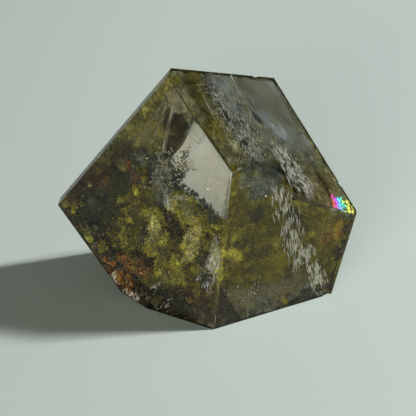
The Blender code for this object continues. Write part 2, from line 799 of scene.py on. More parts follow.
@dataclass
class Growth:
    """Something that has grown in the stone: a geometry tree that is run once."""

    name: str
    finish: Finish

    def tree(self) -> tuple[NodeSketch, Node, Socket]:
        """Builds the geometry tree up to its end, in each growth's own way.

        Returns:
            The sketch, the tree's output node and the finished geometry.
        """
        raise NotImplementedError

    def values(self) -> dict[str, object]:
        """The tree's input names and the values that they get."""
        raise NotImplementedError

    def points(self) -> tuple[Triple, ...]:
        """The points that the tree starts from, joined in order."""
        return ()

    def coated(self) -> bpy.types.NodeTree:
        """Ends the tree: instances made real, then the material.

        Returns:
            The whole tree.
        """
        sketch, out, geometry = self.tree()
        real = sketch.add("GeometryNodeRealizeInstances", {"Geometry": geometry}).outputs[0]
        inputs = {"Geometry": real, "Material": self.finish.material()}
        sketch.feed(out, {0: sketch.add("GeometryNodeSetMaterial", inputs).outputs[0]})
        return sketch.tree

    def bake(self) -> bpy.types.Object:
        """Runs the tree once and keeps the result as a plain mesh.

        Returns:
            The finished piece, at the origin and with no modifier.
        """
        tree, values = self.coated(), self.values()
        start = bpy.data.meshes.new(self.name + "_start")
        points = [tuple(MM * value for value in point) for point in self.points()]
        start.from_pydata(points, [(i, i + 1) for i in range(len(points) - 1)], [])
        seed = bpy.data.objects.new(self.name + "_start", start)
        bpy.context.scene.collection.objects.link(seed)
        modifier = seed.modifiers.new("build", "NODES")
        modifier.node_group = tree
        for item in tree.interface.items_tree:
            if item.in_out == "INPUT" and item.name in values:
                modifier[item.identifier] = values[item.name]
        graph = bpy.context.evaluated_depsgraph_get()
        mesh = bpy.data.meshes.new_from_object(seed.evaluated_get(graph), depsgraph=graph)
        bpy.data.objects.remove(seed, do_unlink=True)
        bpy.data.meshes.remove(start)
        mesh.name = self.name
        piece = bpy.data.objects.new(self.name, mesh)
        bpy.context.scene.collection.objects.link(piece)
        return piece

    def build(self) -> None:
        """Bakes the growth, tucks it into the stone, and declares its body."""
        piece = self.bake()
        hull(Facets.ALL).tuck(piece)
        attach(piece, BODY)
        piece.data.calc_loop_triangles()
        LOG.info("%s: %d triangles", piece.name, len(piece.data.loop_triangles))


@dataclass(frozen=True)
class Clump:
    """One swelling of a growth: its middle and half-sizes in millimetres.

    A push makes it stand out more than its size alone would.
    """

    middle: Triple
    reach: Triple
    push: float = 0.0

    def inside(self, sketch: NodeSketch, place: Socket) -> Socket:
        """How deep a place is in the clump, in millimetres.

        Args:
            sketch: The geometry tree's sketch.
            place: The place in millimetres.

        Returns:
            The depth, negative outside.
        """
        offset = sketch.vector("SUBTRACT", place, self.middle)
        far = sketch.vector("LENGTH", sketch.vector("DIVIDE", offset, self.reach))
        inside = sketch.maths("SUBTRACT", 1.0, far)
        return sketch.maths("MULTIPLY", inside, self.push or min(self.reach))


@dataclass(frozen=True)
class Strand:
    """A ridge of a growth: it follows a path, with a radius in millimetres."""

    path: tuple[Triple, ...]
    radius: float

    def inside(self, sketch: NodeSketch, place: Socket) -> Socket:
        """How deep a place is in the ridge, in millimetres.

        Args:
            sketch: The geometry tree's sketch.
            place: The place in millimetres.

        Returns:
            The depth, negative outside.
        """
        away = []
        for start, end in zip(self.path, self.path[1:]):
            step = np.array(end) - np.array(start)
            offset = sketch.vector("SUBTRACT", place, start)
            share = sketch.vector("DOT_PRODUCT", offset, tuple(step / (step @ step)))
            share = sketch.maths("MULTIPLY", share, 1.0, clamp=True)
            foot = sketch.vector("SCALE", tuple(step), share)
            away.append(sketch.vector("DISTANCE", offset, foot))
        return sketch.maths("SUBTRACT", self.radius, sketch.fold("MINIMUM", away))


@dataclass(frozen=True)
class Shaft:
    """Clear quartz with flat sides, swept from an outline on a facet.

    The outline's corners are in millimetres, and rag has the raggedness of each
    side, from its corner to the next, in millimetres.
    """

    outline: tuple[Triple, ...]
    along: Triple
    rag: tuple[float, ...]

    def inside(self, sketch: NodeSketch, place: Socket, wobble: Socket) -> Socket:
        """How deep a place is in the shaft, in millimetres.

        Args:
            sketch: The geometry tree's sketch.
            place: The place in millimetres.
            wobble: A field about zero that roughens the ragged sides.

        Returns:
            The depth, negative outside.
        """
        corners = [np.array(corner) for corner in self.outline]
        middle = sum(corners) / len(corners)
        depths = []
        for index, corner in enumerate(corners):
            side = np.cross(corners[(index + 1) % len(corners)] - corner, np.array(self.along))
            side /= np.linalg.norm(side)
            if side @ (middle - corner) < 0:
                side = -side
            away = sketch.vector("DOT_PRODUCT", place, tuple(side))
            away = sketch.maths("SUBTRACT", away, float(side @ corner))
            if self.rag[index]:
                away = sketch.maths("MULTIPLY_ADD", wobble, self.rag[index], away)
            depths.append(away)
        return sketch.fold("MINIMUM", depths)


# The two clear shafts that are looked through, from the left front facet to the back.
ALONG_WINDOW = (0.18, 0.888, -0.42)
WINDOWS = (
    Shaft(((-2.4, -5.1, 35.5), (4.0, -10.2, 27.8), (-0.2, -8.0, 27.7), (-3.0, -5.6, 31.6)),
          ALONG_WINDOW, rag=(0.0, 0.0, 0.0, 0.3)),
    Shaft(((-3.0, -5.6, 31.6), (4.0, -10.2, 27.8), (3.0, -11.8, 19.0), (-4.4, -7.0, 22.8),
           (-6.0, -5.6, 24.8), (-6.0, -5.1, 26.8)),
          ALONG_WINDOW, rag=(0.0, 0.0, 1.1, 0.9, 0.9, 0.5)),
)


@dataclass
class MossGrowth(Growth):
    """A lumpy mineral growth inside the stone, made of clumps and strands.

    Its gaps stay open, and so do the windows. It ends the dip below a broad
    facet, or the rim dip below a narrow one, and nothing comes nearer to a facet
    than under_face. Rag, knob and fuzz are the strengths of its coarse, middle
    and fine relief, and sway is how far its clumps are bent.
    """

    clumps: tuple[Clump, ...]
    gaps: tuple[Clump, ...] = ()
    strands: tuple[Strand, ...] = ()
    voxel: float = 0.3
    under_face: float = 0.3
    dip: float = 1.8
    rim_dip: float = 0.2
    sway: float = 4.0
    sway_scale: float = 0.16
    rag: float = 7.0
    rag_size: float = 5.5
    knob: float = 1.6
    knob_size: float = 3.4
    knob_gain: float = 5.0
    knob_sink: float = -0.4
    fuzz: float = 0.6
    fuzz_size: float = 0.9
    melt: float = 1.0
    gap_melt: float = 0.5
    facet_melt: float = 0.8
    sharpness: float = 0.7
    rag_room: float = 0.5
    sway_room: float = 0.3
    most_room: float = 2.5
    tones: Triple = (0.9, 0.6, 0.8)
    mean_tone: float = 0.45
    seed: float = 0.0

    def body(self, sketch: NodeSketch, place: Socket, clumps: tuple[Clump, ...],
             strands: tuple[Strand, ...] = ()) -> Socket:
        """How deep a place is in the clumps and strands, in millimetres.

        Args:
            sketch: The tree's sketch.
            place: The place in millimetres.
            clumps: The clumps, which melt into one another.
            strands: The strands.

        Returns:
            The depth, negative outside.
        """
        parts = [strand.inside(sketch, place) for strand in strands]
        if parts:
            parts = [sketch.fold("MAXIMUM", parts)]
        parts += [clump.inside(sketch, place) for clump in clumps]
        return sketch.fold("SMOOTH_MAX", parts, self.melt)

    def span_box(self) -> tuple[np.ndarray, np.ndarray]:
        """The box in millimetres that the growth can fill.

        Returns:
            Its lowest and highest corners.
        """
        low, high = hull(Facets.LARGE).box()
        spare = min(self.rag * self.rag_room, self.most_room) + self.sway * self.sway_room
        starts = [np.array(c.middle) - np.array(c.reach) - spare for c in self.clumps]
        ends = [np.array(c.middle) + np.array(c.reach) + spare for c in self.clumps]
        for strand in self.strands:
            starts.append(np.min(strand.path, axis=0) - strand.radius - spare)
            ends.append(np.max(strand.path, axis=0) + strand.radius + spare)
        return np.maximum(np.min(starts, axis=0), low), np.minimum(np.max(ends, axis=0), high)

    def skin(self, sketch: NodeSketch, density: Socket, voxel: Socket) -> Socket:
        """The surface round the places of the growth's box that are dense.

        Args:
            sketch: The tree's sketch.
            density: The density at each place, a half at the surface.
            voxel: The surface's grain in metres.

        Returns:
            The surface as a mesh.
        """
        low, high = self.span_box()
        cells = np.ceil((high - low) / self.voxel).astype(int) + 1
        inputs = {"Density": density, "Min": tuple(low * MM), "Max": tuple(high * MM)}
        for axis, count in zip("XYZ", cells):
            inputs["Resolution " + axis] = int(count)
        cube = sketch.add("GeometryNodeVolumeCube", inputs).outputs[0]
        inputs = {"Volume": cube, "Threshold": 0.5, "Voxel Size": voxel}
        return sketch.add("GeometryNodeVolumeToMesh", inputs,
                          resolution_mode="VOXEL_SIZE").outputs[0]

    def tree(self) -> tuple[NodeSketch, Node, Socket]:
        """Builds the growth's tree.

        Returns:
            What Growth.tree returns.
        """
        sketch, given, out = start_tree(self.name, {"Voxel": "Float", "Seed": "Float"})
        place = sketch.place()
        shift = sketch.add("ShaderNodeCombineXYZ", {0: given["Seed"]}).outputs[0]
        moved = sketch.vector("ADD", place, shift)
        bent = sketch.vector("ADD", place, sketch.drift(moved, self.sway_scale, 2.0, self.sway))
        rag = sketch.stray(moved, 1.0 / self.rag_size, 2.0)
        knob = sketch.maths("ABSOLUTE", sketch.stray(moved, 1.0 / self.knob_size, 2.0))
        knob = sketch.maths("MULTIPLY_ADD", knob, self.knob_gain, self.knob_sink)
        fuzz = sketch.stray(moved, 1.0 / self.fuzz_size, 3.0, 0.6)
        full = self.body(sketch, bent, self.clumps, self.strands)
        if self.gaps:
            gap = sketch.maths("MULTIPLY", self.body(sketch, bent, self.gaps), -1.0)
            full = sketch.maths("SMOOTH_MIN", full, gap, self.gap_melt)
        dipped = hull(Facets.LARGE).depth(sketch, place, self.dip, self.rim_dip)
        full = sketch.maths("SMOOTH_MIN", full, dipped, self.facet_melt)
        full = sketch.maths("MULTIPLY_ADD", rag, self.rag * 2, full)
        full = sketch.maths("MULTIPLY_ADD", knob, self.knob, full)
        full = sketch.maths("MULTIPLY_ADD", fuzz, self.fuzz * 2, full)
        deep = hull(Facets.LARGE).depth(sketch, place)
        solid = [full, sketch.maths("SUBTRACT", deep, self.under_face)]
        wobble = sketch.maths("ADD", sketch.maths("MULTIPLY", rag, 2.0),
                              sketch.maths("MULTIPLY", fuzz, 2.0))
        for shaft in WINDOWS:
            solid.append(sketch.maths("MULTIPLY", shaft.inside(sketch, place, wobble), -1.0))
        density = sketch.maths("MULTIPLY_ADD", sketch.fold("MINIMUM", solid), self.sharpness, 0.5,
                               clamp=True)
        skin = self.skin(sketch, density, given["Voxel"])
        # The lump value is the relief's height; the finish turns it into painted shade in the pits
        # and a painted highlight on the tops.
        of_rag, of_knob, of_fuzz = self.tones
        tone = sketch.maths("ADD", sketch.maths("MULTIPLY", fuzz, of_fuzz),
                            sketch.maths("MULTIPLY", rag, of_rag))
        knobs = sketch.maths("MULTIPLY_ADD", knob, of_knob, self.mean_tone)
        tone = sketch.maths("ADD", knobs, tone)
        return sketch, out, sketch.smooth(sketch.store(skin, "lump", tone))

    def values(self) -> dict[str, object]:
        """The surface's grain in metres and the seed."""
        return {"Voxel": self.voxel * MM, "Seed": self.seed}


@dataclass
class GrainDust(Growth):
    """Loose grains that lie round a growth and soften its edge.

    There are per_mm2 grains on the growth around, up to stray off it, with
    radii from least_share of most up to most. Some patches stay bare.
    """

    around: str
    per_mm2: float
    stray: float
    most: float
    seed: int
    least_share: float = 0.35
    settle: float = 1.7
    patch: float = 0.42
    patch_scale: float = 0.7
    tone: Pair = (0.3, 1.35)
    under_face: float = 0.3

    def tree(self) -> tuple[NodeSketch, Node, Socket]:
        """Builds the dust's tree.

        Returns:
            What Growth.tree returns.
        """
        sketch, given, out = start_tree(self.name, {"Around": "Object", "Seed": "Int"})
        seed = given["Seed"]
        moss = sketch.add("GeometryNodeObjectInfo", {0: given["Around"]})
        dust = sketch.add("GeometryNodeDistributePointsOnFaces", {
            "Mesh": moss.outputs["Geometry"], "Density": self.per_mm2 / MM ** 2, "Seed": seed})
        far = sketch.maths("POWER", chance(sketch, 0.0, 1.0, seed, 1), self.settle)
        far = sketch.maths("MULTIPLY", far, self.stray * MM)
        offset = sketch.vector("SCALE", dust.outputs["Normal"], far)
        moved = sketch.move(dust.outputs["Points"], Offset=offset)
        place = sketch.place()
        bare = sketch.maths("LESS_THAN", sketch.noise(place, self.patch_scale, 2.0), self.patch)
        deep = hull(Facets.LARGE).depth(sketch, place)
        shallow = sketch.maths("LESS_THAN", deep, self.under_face)
        kept = sketch.drop(moved, bare, shallow)
        size = chance(sketch, self.most * self.least_share, self.most, seed, 3)
        copies = sketch.copies(kept, sliver(sketch), any_turn(sketch, seed, 2), size)
        tone = chance(sketch, *self.tone, seed, 4)
        return sketch, out, sketch.store(copies, "lump", tone, "INSTANCE")

    def values(self) -> dict[str, object]:
        """The growth that the dust lies round and the seed."""
        return {"Around": bpy.data.objects[self.around], "Seed": self.seed}


@dataclass
class FlakeBand(Growth):
    """A band of small flat slivers that lie along a path in a healed crack.

    The path is in millimetres, face is the direction that the band faces, and
    width and deep are the band's half width and its depth under the path. The
    slivers lean off the path by up to lean, on top of the skew, and stay away
    where the patches of a noise are under sparse.
    """

    path: tuple[Triple, ...]
    face: Triple
    count: int
    width: float
    deep: float
    length: Pair = (0.8, 2.4)
    breadth: float = 0.22
    thick: float = 0.05
    lean: float = 0.25
    skew: float = 0.0
    tip: float = 0.8
    breadth_shares: Pair = (0.3, 0.7)
    sparse: float = 0.42
    patch_scale: float = 0.8
    under_face: float = 0.3
    seed: int = 1

    def tree(self) -> tuple[NodeSketch, Node, Socket]:
        """Builds the band's tree.

        Returns:
            What Growth.tree returns.
        """
        sketch, given, out = start_tree(self.name, {"Count": "Int", "Seed": "Int"})
        seed = given["Seed"]
        curve = sketch.add("GeometryNodeMeshToCurve", {0: given["Geometry"]}).outputs[0]
        steps = sketch.add("GeometryNodeCurveToPoints", {"Curve": curve, "Count": given["Count"]},
                           mode="COUNT")
        tangent = steps.outputs["Tangent"]
        across = sketch.vector("NORMALIZE", sketch.vector("CROSS_PRODUCT", tangent, self.face))
        side = sketch.maths("ADD", chance(sketch, -1.0, 1.0, seed, 1),
                            chance(sketch, -1.0, 1.0, seed, 2))
        sunk = sketch.maths("MULTIPLY", chance(sketch, 0.0, 1.0, seed, 3), -self.deep * MM)
        slide = sketch.maths("MULTIPLY", chance(sketch, -1.0, 1.0, seed, 4), MM)
        side = sketch.maths("MULTIPLY", side, self.width * MM / 2)
        offset = sketch.vector("SCALE", across, side)
        offset = sketch.vector("ADD", offset, sketch.vector("SCALE", self.face, sunk))
        offset = sketch.vector("ADD", offset, sketch.vector("SCALE", tangent, slide))
        moved = sketch.move(steps.outputs[0], Offset=offset)
        place = sketch.place()
        deep = hull(Facets.LARGE).depth(sketch, place)
        shallow = sketch.maths("LESS_THAN", deep, self.under_face)
        bare = sketch.maths("LESS_THAN", sketch.noise(place, self.patch_scale, 2.0), self.sparse)
        kept = sketch.drop(moved, shallow, bare)
        turn = sketch.maths("ADD", chance(sketch, -self.lean, self.lean, seed, 5), self.skew)
        heading = sketch.vector("ADD", tangent, sketch.vector("SCALE", across, turn))
        tip = chance(sketch, (-self.tip,) * 3, (self.tip,) * 3, seed, 6)
        aim = sketch.add("FunctionNodeAxesToRotation",
                         {0: heading, 1: sketch.vector("ADD", self.face, tip)},
                         primary_axis="Z", secondary_axis="Y")
        narrow, wide = (self.breadth * share for share in self.breadth_shares)
        size = sketch.add("ShaderNodeCombineXYZ", {
            0: chance(sketch, narrow, wide, seed, 7),
            1: self.thick / 2,
            2: chance(sketch, self.length[0] / 2, self.length[1] / 2, seed, 8)})
        return sketch, out, sketch.copies(kept, sliver(sketch), aim, size.outputs[0])

    def values(self) -> dict[str, object]:
        """How many slivers are tried and the seed."""
        return {"Count": self.count, "Seed": self.seed}

    def points(self) -> tuple[Triple, ...]:
        """The band's path."""
        return self.path


@dataclass
class Glints(Growth):
    """Painted glints: single bright specks that glow by their finish, at given places in
    millimetres, of the size given.
    """

    places: tuple[Triple, ...]
    size: Pair = (0.2, 0.4)
    seed: int = 1

    def tree(self) -> tuple[NodeSketch, Node, Socket]:
        """Builds the specks' tree.

        Returns:
            What Growth.tree returns.
        """
        sketch, given, out = start_tree(self.name, {"Seed": "Int"})
        seed = given["Seed"]
        spots = sketch.add("GeometryNodeMeshToPoints", {"Mesh": given["Geometry"]}).outputs[0]
        speck = sketch.add("GeometryNodeMeshIcoSphere", {"Radius": MM, "Subdivisions": 1})
        low, high = self.size[0] / 2, self.size[1] / 2
        size = chance(sketch, (low, low, low), (high, high, high), seed, 2)
        return sketch, out, sketch.copies(spots, speck, any_turn(sketch, seed, 1), size)

    def values(self) -> dict[str, object]:
        """The seed."""
        return {"Seed": self.seed}

    def points(self) -> tuple[Triple, ...]:
        """The specks' places."""
        return self.places


@dataclass
class HazeFilm(Growth):
    """A thin cloudy film in a healed crack, or a sheet of painted sheen, reflection, highlight or
    shade, thicker in some places than in others.

    The corners are in millimetres, in order round the film. Edges has the share
    of the film that fades out along the sides 4-1, 2-3, 1-2 and 3-4.
    """

    corners: tuple[Triple, Triple, Triple, Triple]
    steps: int = 48
    edges: tuple[float, float, float, float] = (0.22, 0.22, 0.22, 0.22)
    wave: float = 0.6
    wave_size: float = 5.0
    seed: float = 0.0

    def tree(self) -> tuple[NodeSketch, Node, Socket]:
        """Builds the film's tree.

        Returns:
            What Growth.tree returns.
        """
        sketch, given, out = start_tree(self.name, {"Steps": "Int", "Seed": "Float"})
        steps = given["Steps"]
        grid = sketch.add("GeometryNodeMeshGrid", {
            "Size X": 1.0, "Size Y": 1.0, "Vertices X": steps, "Vertices Y": steps})
        spot = sketch.add("GeometryNodeInputPosition").outputs[0]
        flat = sketch.add("ShaderNodeSeparateXYZ", {0: spot})
        u = sketch.maths("ADD", flat.outputs[0], 0.5)
        v = sketch.maths("ADD", flat.outputs[1], 0.5)
        first, second, third, fourth = self.corners
        near = sketch.mix(u, first, second, places=True)
        far = sketch.mix(u, fourth, third, places=True)
        place = sketch.mix(v, near, far, places=True)
        seed = sketch.add("ShaderNodeCombineXYZ", {2: given["Seed"]}).outputs[0]
        moved = sketch.vector("ADD", place, seed)
        drift = sketch.drift(moved, 1.0 / self.wave_size, 2.0, self.wave * 2.0)
        place = sketch.vector("SCALE", sketch.vector("ADD", place, drift), MM)
        ways = (u, sketch.maths("SUBTRACT", 1.0, u), v, sketch.maths("SUBTRACT", 1.0, v))
        fades = [sketch.span(way, 0.0, edge, smooth=True) for way, edge in zip(ways, self.edges)]
        toned = sketch.store(grid.outputs[0], "fade", sketch.fold("MULTIPLY", fades))
        return sketch, out, sketch.smooth(sketch.move(toned, Position=place))

    def values(self) -> dict[str, object]:
        """The grid's points along each side and the seed."""
        return {"Steps": self.steps, "Seed": self.seed}


# -------------------------------------------------------------------- the studio


@dataclass(frozen=True)
class Lamp:
    """One square soft lamp that faces the stone.

    Its azimuth goes from +X towards +Y and its elevation from the floor, in
    degrees. Its reach and its side are in metres.
    """

    name: str
    azimuth: float
    elevation: float
    reach: float
    side: float
    watts: float
    colour: Colour

    def hang(self) -> None:
        """Makes the lamp and turns it to the stone."""
        turn, rise = math.radians(self.azimuth), math.radians(self.elevation)
        away = Vector((math.cos(turn) * math.cos(rise), math.sin(turn) * math.cos(rise),
                       math.sin(rise)))
        light = bpy.data.lights.new(self.name, "AREA")
        light.shape = "SQUARE"
        light.size = self.side
        light.energy = self.watts
        light.color = self.colour
        lamp = bpy.data.objects.new(self.name, light)
        lamp.location = away * self.reach
        lamp.rotation_euler = away.to_track_quat("Z", "Y").to_euler()
        lamp.visible_camera = False
        bpy.context.scene.collection.objects.link(lamp)


@dataclass
class Studio:
    """The pale floor, the soft lights, the room's glow and the camera, in metres."""

    floor_half: float = 1.5
    floor_drop: float = 0.05 * MM
    floor_finish: FloorFinish = FloorFinish()
    camera_place: Triple = (0.23 * MM, -281.03 * MM, 196.71 * MM)
    camera_elevation: float = 33.0
    camera_clip: Pair = (0.01, 10.0)
    lens_mm: float = 171.35
    sensor_mm: float = 36.0
    lamps: tuple[Lamp, ...] = (
        Lamp("key", 12.0, 42.0, 0.7, 0.07, 4.2, (1.0, 0.97, 0.90)),
        Lamp("fill", 247.0, 5.0, 0.9, 0.4, 9.3, (1.0, 0.95, 0.80)),
    )
    glow: Colour = (0.96, 0.91, 0.74)
    glow_strength: float = 0.082

    def floor(self) -> None:
        """Lays the floor just under the stone's base."""
        half, level = self.floor_half, -self.floor_drop
        corners = [(-half, -half, level), (half, -half, level), (half, half, level),
                   (-half, half, level)]
        mesh = bpy.data.meshes.new("floor")
        mesh.from_pydata(corners, [], [(0, 1, 2, 3)])
        floor = bpy.data.objects.new("floor", mesh)
        bpy.context.scene.collection.objects.link(floor)
        mesh.materials.append(self.floor_finish.material())

    def lights(self) -> None:
        """Hangs the lamps and sets the room's glow."""
        for lamp in self.lamps:
            lamp.hang()
        world = bpy.data.worlds.new("room")
        world.use_nodes = True
        glow = world.node_tree.nodes["Background"]
        glow.inputs["Color"].default_value = rgba(self.glow)
        glow.inputs["Strength"].default_value = self.glow_strength
        bpy.context.scene.world = world

    def camera(self) -> None:
        """Sets the camera up, and the tones that its picture is shown in."""
        data = bpy.data.cameras.new("camera")
        data.sensor_width = self.sensor_mm
        data.lens = self.lens_mm
        data.clip_start, data.clip_end = self.camera_clip
        camera = bpy.data.objects.new("camera", data)
        camera.location = self.camera_place
        camera.rotation_euler = (math.radians(90.0 - self.camera_elevation), 0.0, 0.0)
        scene = bpy.context.scene
        scene.collection.objects.link(camera)
        scene.camera = camera
        scene.view_settings.view_transform = "Standard"
        scene.view_settings.look = "Medium High Contrast"

    def build(self) -> None:
        """Builds the whole studio."""
        self.floor()
        self.lights()
        self.camera()


# ------------------------------------------------ what has grown in this stone

# The growths' finishes. Their stains lie where the growth changes its colour.
MOSS_LEFT = MossFinish("moss_left", (0.25, 0.235, 0.02), (0.19, 0.15, 0.02), (0.62, 0.56, 0.12), (
    Stain((-15.0, 2.0, 17.0), (8.0, 6.0, 4.5), (0.045, 0.055, 0.035)),
    Stain((-9.5, -3.5, 5.6), (5.5, 3.0, 2.0), (0.28, 0.12, 0.02), 0.7),
    Stain((-11.0, -1.5, 10.0), (3.0, 3.0, 3.0), (0.34, 0.32, 0.03), 0.6),
    Stain((-3.5, -6.0, 16.5), (3.0, 3.0, 3.0), (0.37, 0.35, 0.05), 0.7),
    Stain((-0.5, -9.5, 3.6), (4.2, 4.0, 3.6), (0.17, 0.08, 0.025), 0.9),
    Stain((-6.0, -8.5, 1.5), (6.0, 3.0, 2.0), (0.14, 0.085, 0.02), 0.8),
    Stain((-6.3, -7.6, 6.3), (2.6, 3.0, 2.6), (0.13, 0.12, 0.02), 0.8),
    Stain((0.6, -10.0, 9.5), (1.8, 2.6, 4.5), (0.26, 0.26, 0.13), 0.8),
))
MOSS_RIDGES = MossFinish("moss_ridges", (0.62, 0.59, 0.05), (0.52, 0.45, 0.05), (1.0, 0.96, 0.42), (
    Stain((-2.0, -8.1, 12.5), (2.8, 2.4, 4.8), (0.80, 0.75, 0.38), 0.9),
    Stain((-6.9, -6.0, 12.1), (1.4, 1.4, 1.3), (0.85, 0.42, 0.09), 0.9),
    # Painted highlight: the arched ridge made paler where light falls on it.
    Stain((-8.6, -5.4, 13.1), (2.0, 2.4, 3.4), (1.0, 0.96, 0.42), 0.95),
    Stain((-5.6, -7.6, 6.1), (2.6, 2.6, 2.4), (0.32, 0.31, 0.08), 0.9),
    Stain((-11.3, -3.6, 15.4), (1.5, 1.6, 1.5), (0.12, 0.07, 0.03), 0.85),
    Stain((-2.4, -6.4, 19.0), (3.4, 2.8, 2.2), (0.48, 0.48, 0.22), 0.9),
    Stain((-13.2, -1.4, 12.5), (1.8, 2.4, 4.2), (0.38, 0.37, 0.05), 0.9),
    Stain((-20.0, 0.0, 9.5), (3.2, 3.0, 4.5), (0.25, 0.27, 0.07), 0.9),
    Stain((1.4, -8.9, 18.8), (2.6, 3.0, 2.2), (0.10, 0.11, 0.06), 0.95),
    Stain((-11.5, -2.4, 19.0), (1.6, 1.6, 1.4), (0.34, 0.34, 0.06), 0.9),
), pit_shade_tone=0.3, top_highlight_tone=1.5, patch_mm=3.0)
MOSS_RUST = MossFinish("moss_rust", (0.60, 0.21, 0.035), (0.34, 0.24, 0.05), (1.0, 0.66, 0.32), (),
                   pit_shade_tone=0.15, top_highlight_tone=1.6, patch_mm=1.2)
MOSS_DARK = MossFinish("moss_dark", (0.055, 0.070, 0.045), (0.10, 0.10, 0.03), (0.34, 0.36, 0.20), (
    Stain((-18.4, 1.6, 20.6), (3.6, 4.0, 2.8), (0.15, 0.085, 0.02), 0.85),
    Stain((-23.4, 2.0, 14.5), (1.4, 3.0, 1.6), (0.42, 0.12, 0.02), 0.6),
), pit_shade_tone=0.2, patch_mm=3.0)
MOSS_GREY = MossFinish("moss_grey", (0.26, 0.27, 0.18), (0.14, 0.15, 0.08), (0.7, 0.7, 0.5), (),
                  patch_mm=2.0, pit_shade_tone=0.2, top_highlight_tone=1.7)
MOSS_CROWN = MossFinish("moss_crown", (0.42, 0.39, 0.13), (0.30, 0.28, 0.07), (0.7, 0.68, 0.4), (
    Stain((-4.2, -2.7, 33.0), (3.2, 3.6, 6.4), (0.075, 0.06, 0.012), 0.95),
    Stain((-12.5, 1.5, 25.0), (4.0, 4.0, 2.6), (0.15, 0.15, 0.09), 0.85),
    Stain((-15.0, 0.8, 25.6), (4.0, 4.0, 4.0), (0.13, 0.13, 0.06), 0.9),
    Stain((-20.5, 1.6, 18.6), (6.0, 5.0, 6.5), (0.085, 0.055, 0.025), 0.95),
), pit_shade_tone=0.4, top_highlight_tone=1.5)
MOSS_RIGHT = MossFinish("moss_right", (0.32, 0.285, 0.025), (0.25, 0.21, 0.025),
                        (0.55, 0.50, 0.14), (
    Stain((2.8, -11.2, 11.8), (2.6, 3.0, 4.4), (0.72, 0.66, 0.10), 0.95),
    Stain((5.3, -9.4, 16.0), (2.6, 2.4, 0.9), (0.50, 0.45, 0.06), 0.85),
    Stain((4.8, -9.9, 13.9), (1.8, 2.2, 0.9), (0.11, 0.10, 0.02), 0.85),
    Stain((7.9, -7.8, 18.2), (1.7, 2.6, 2.2), (0.10, 0.10, 0.025), 0.9),
    Stain((7.8, -8.7, 11.6), (2.6, 2.6, 2.4), (0.21, 0.18, 0.02), 0.8),
    Stain((9.6, -6.0, 23.6), (6.4, 4.0, 2.8), (0.24, 0.27, 0.24), 0.95),
    Stain((14.8, -4.5, 16.2), (2.6, 2.4, 2.0), (0.14, 0.12, 0.025), 0.8),
    Stain((2.0, -13.4, 1.6), (3.4, 4.0, 5.0), (0.10, 0.08, 0.04), 0.95),
    Stain((22.0, -1.4, 10.8), (3.2, 3.0, 3.0), (0.38, 0.20, 0.03), 0.7),
    Stain((19.0, -2.0, 12.0), (2.4, 3.0, 2.2), (0.46, 0.41, 0.07), 0.7),
    Stain((13.0, -7.0, 3.2), (2.6, 2.6, 1.5), (0.24, 0.11, 0.04), 0.7),
    Stain((9.0, -7.5, 3.0), (4.0, 4.0, 2.6), (0.27, 0.24, 0.12), 0.7),
), pit_shade_tone=0.4, top_highlight_tone=1.45, patch_mm=4.0)
MOSS_UPPER = MossFinish("moss_upper", (0.38, 0.40, 0.25), (0.32, 0.33, 0.17), (0.64, 0.66, 0.50), (
    Stain((9.0, -5.6, 24.3), (6.4, 4.0, 3.4), (0.22, 0.26, 0.24), 0.95),
    Stain((-2.0, 2.0, 37.4), (3.4, 3.4, 3.4), (0.28, 0.26, 0.05), 0.9),
    Stain((0.5, -5.0, 32.0), (2.0, 4.0, 4.5), (0.27, 0.24, 0.06), 0.9),
    Stain((1.0, 3.0, 35.6), (3.0, 3.0, 3.0), (0.09, 0.10, 0.06), 0.95),
    Stain((3.6, 0.6, 31.6), (3.2, 3.2, 3.6), (0.08, 0.09, 0.06), 0.95),
    Stain((6.0, -2.0, 28.4), (2.8, 2.8, 3.0), (0.13, 0.14, 0.11), 0.9),
    Stain((11.0, -2.6, 21.8), (2.4, 2.8, 2.0), (0.05, 0.075, 0.085), 0.95),
    Stain((14.4, -1.4, 22.0), (2.6, 2.6, 3.2), (0.08, 0.09, 0.08), 0.8),
    Stain((11.0, 8.0, 29.0), (5.0, 6.0, 5.0), (0.18, 0.20, 0.16), 0.8),
    Stain((19.0, 0.0, 17.6), (5.0, 5.0, 4.0), (0.42, 0.38, 0.20), 0.85),
), pit_shade_tone=0.4, top_highlight_tone=1.4, patch_mm=3.0)
MOSS_RIM = MossFinish("moss_rim", (0.13, 0.12, 0.05), (0.10, 0.07, 0.03), (0.45, 0.42, 0.28), (
    Stain((-15.5, -4.5, 3.0), (3.4, 3.0, 2.0), (0.30, 0.12, 0.03), 0.7),
    Stain((11.0, -9.0, 1.5), (9.0, 4.0, 2.5), (0.22, 0.21, 0.15), 0.8),
), pit_shade_tone=0.15, top_highlight_tone=1.7, patch_mm=1.5)

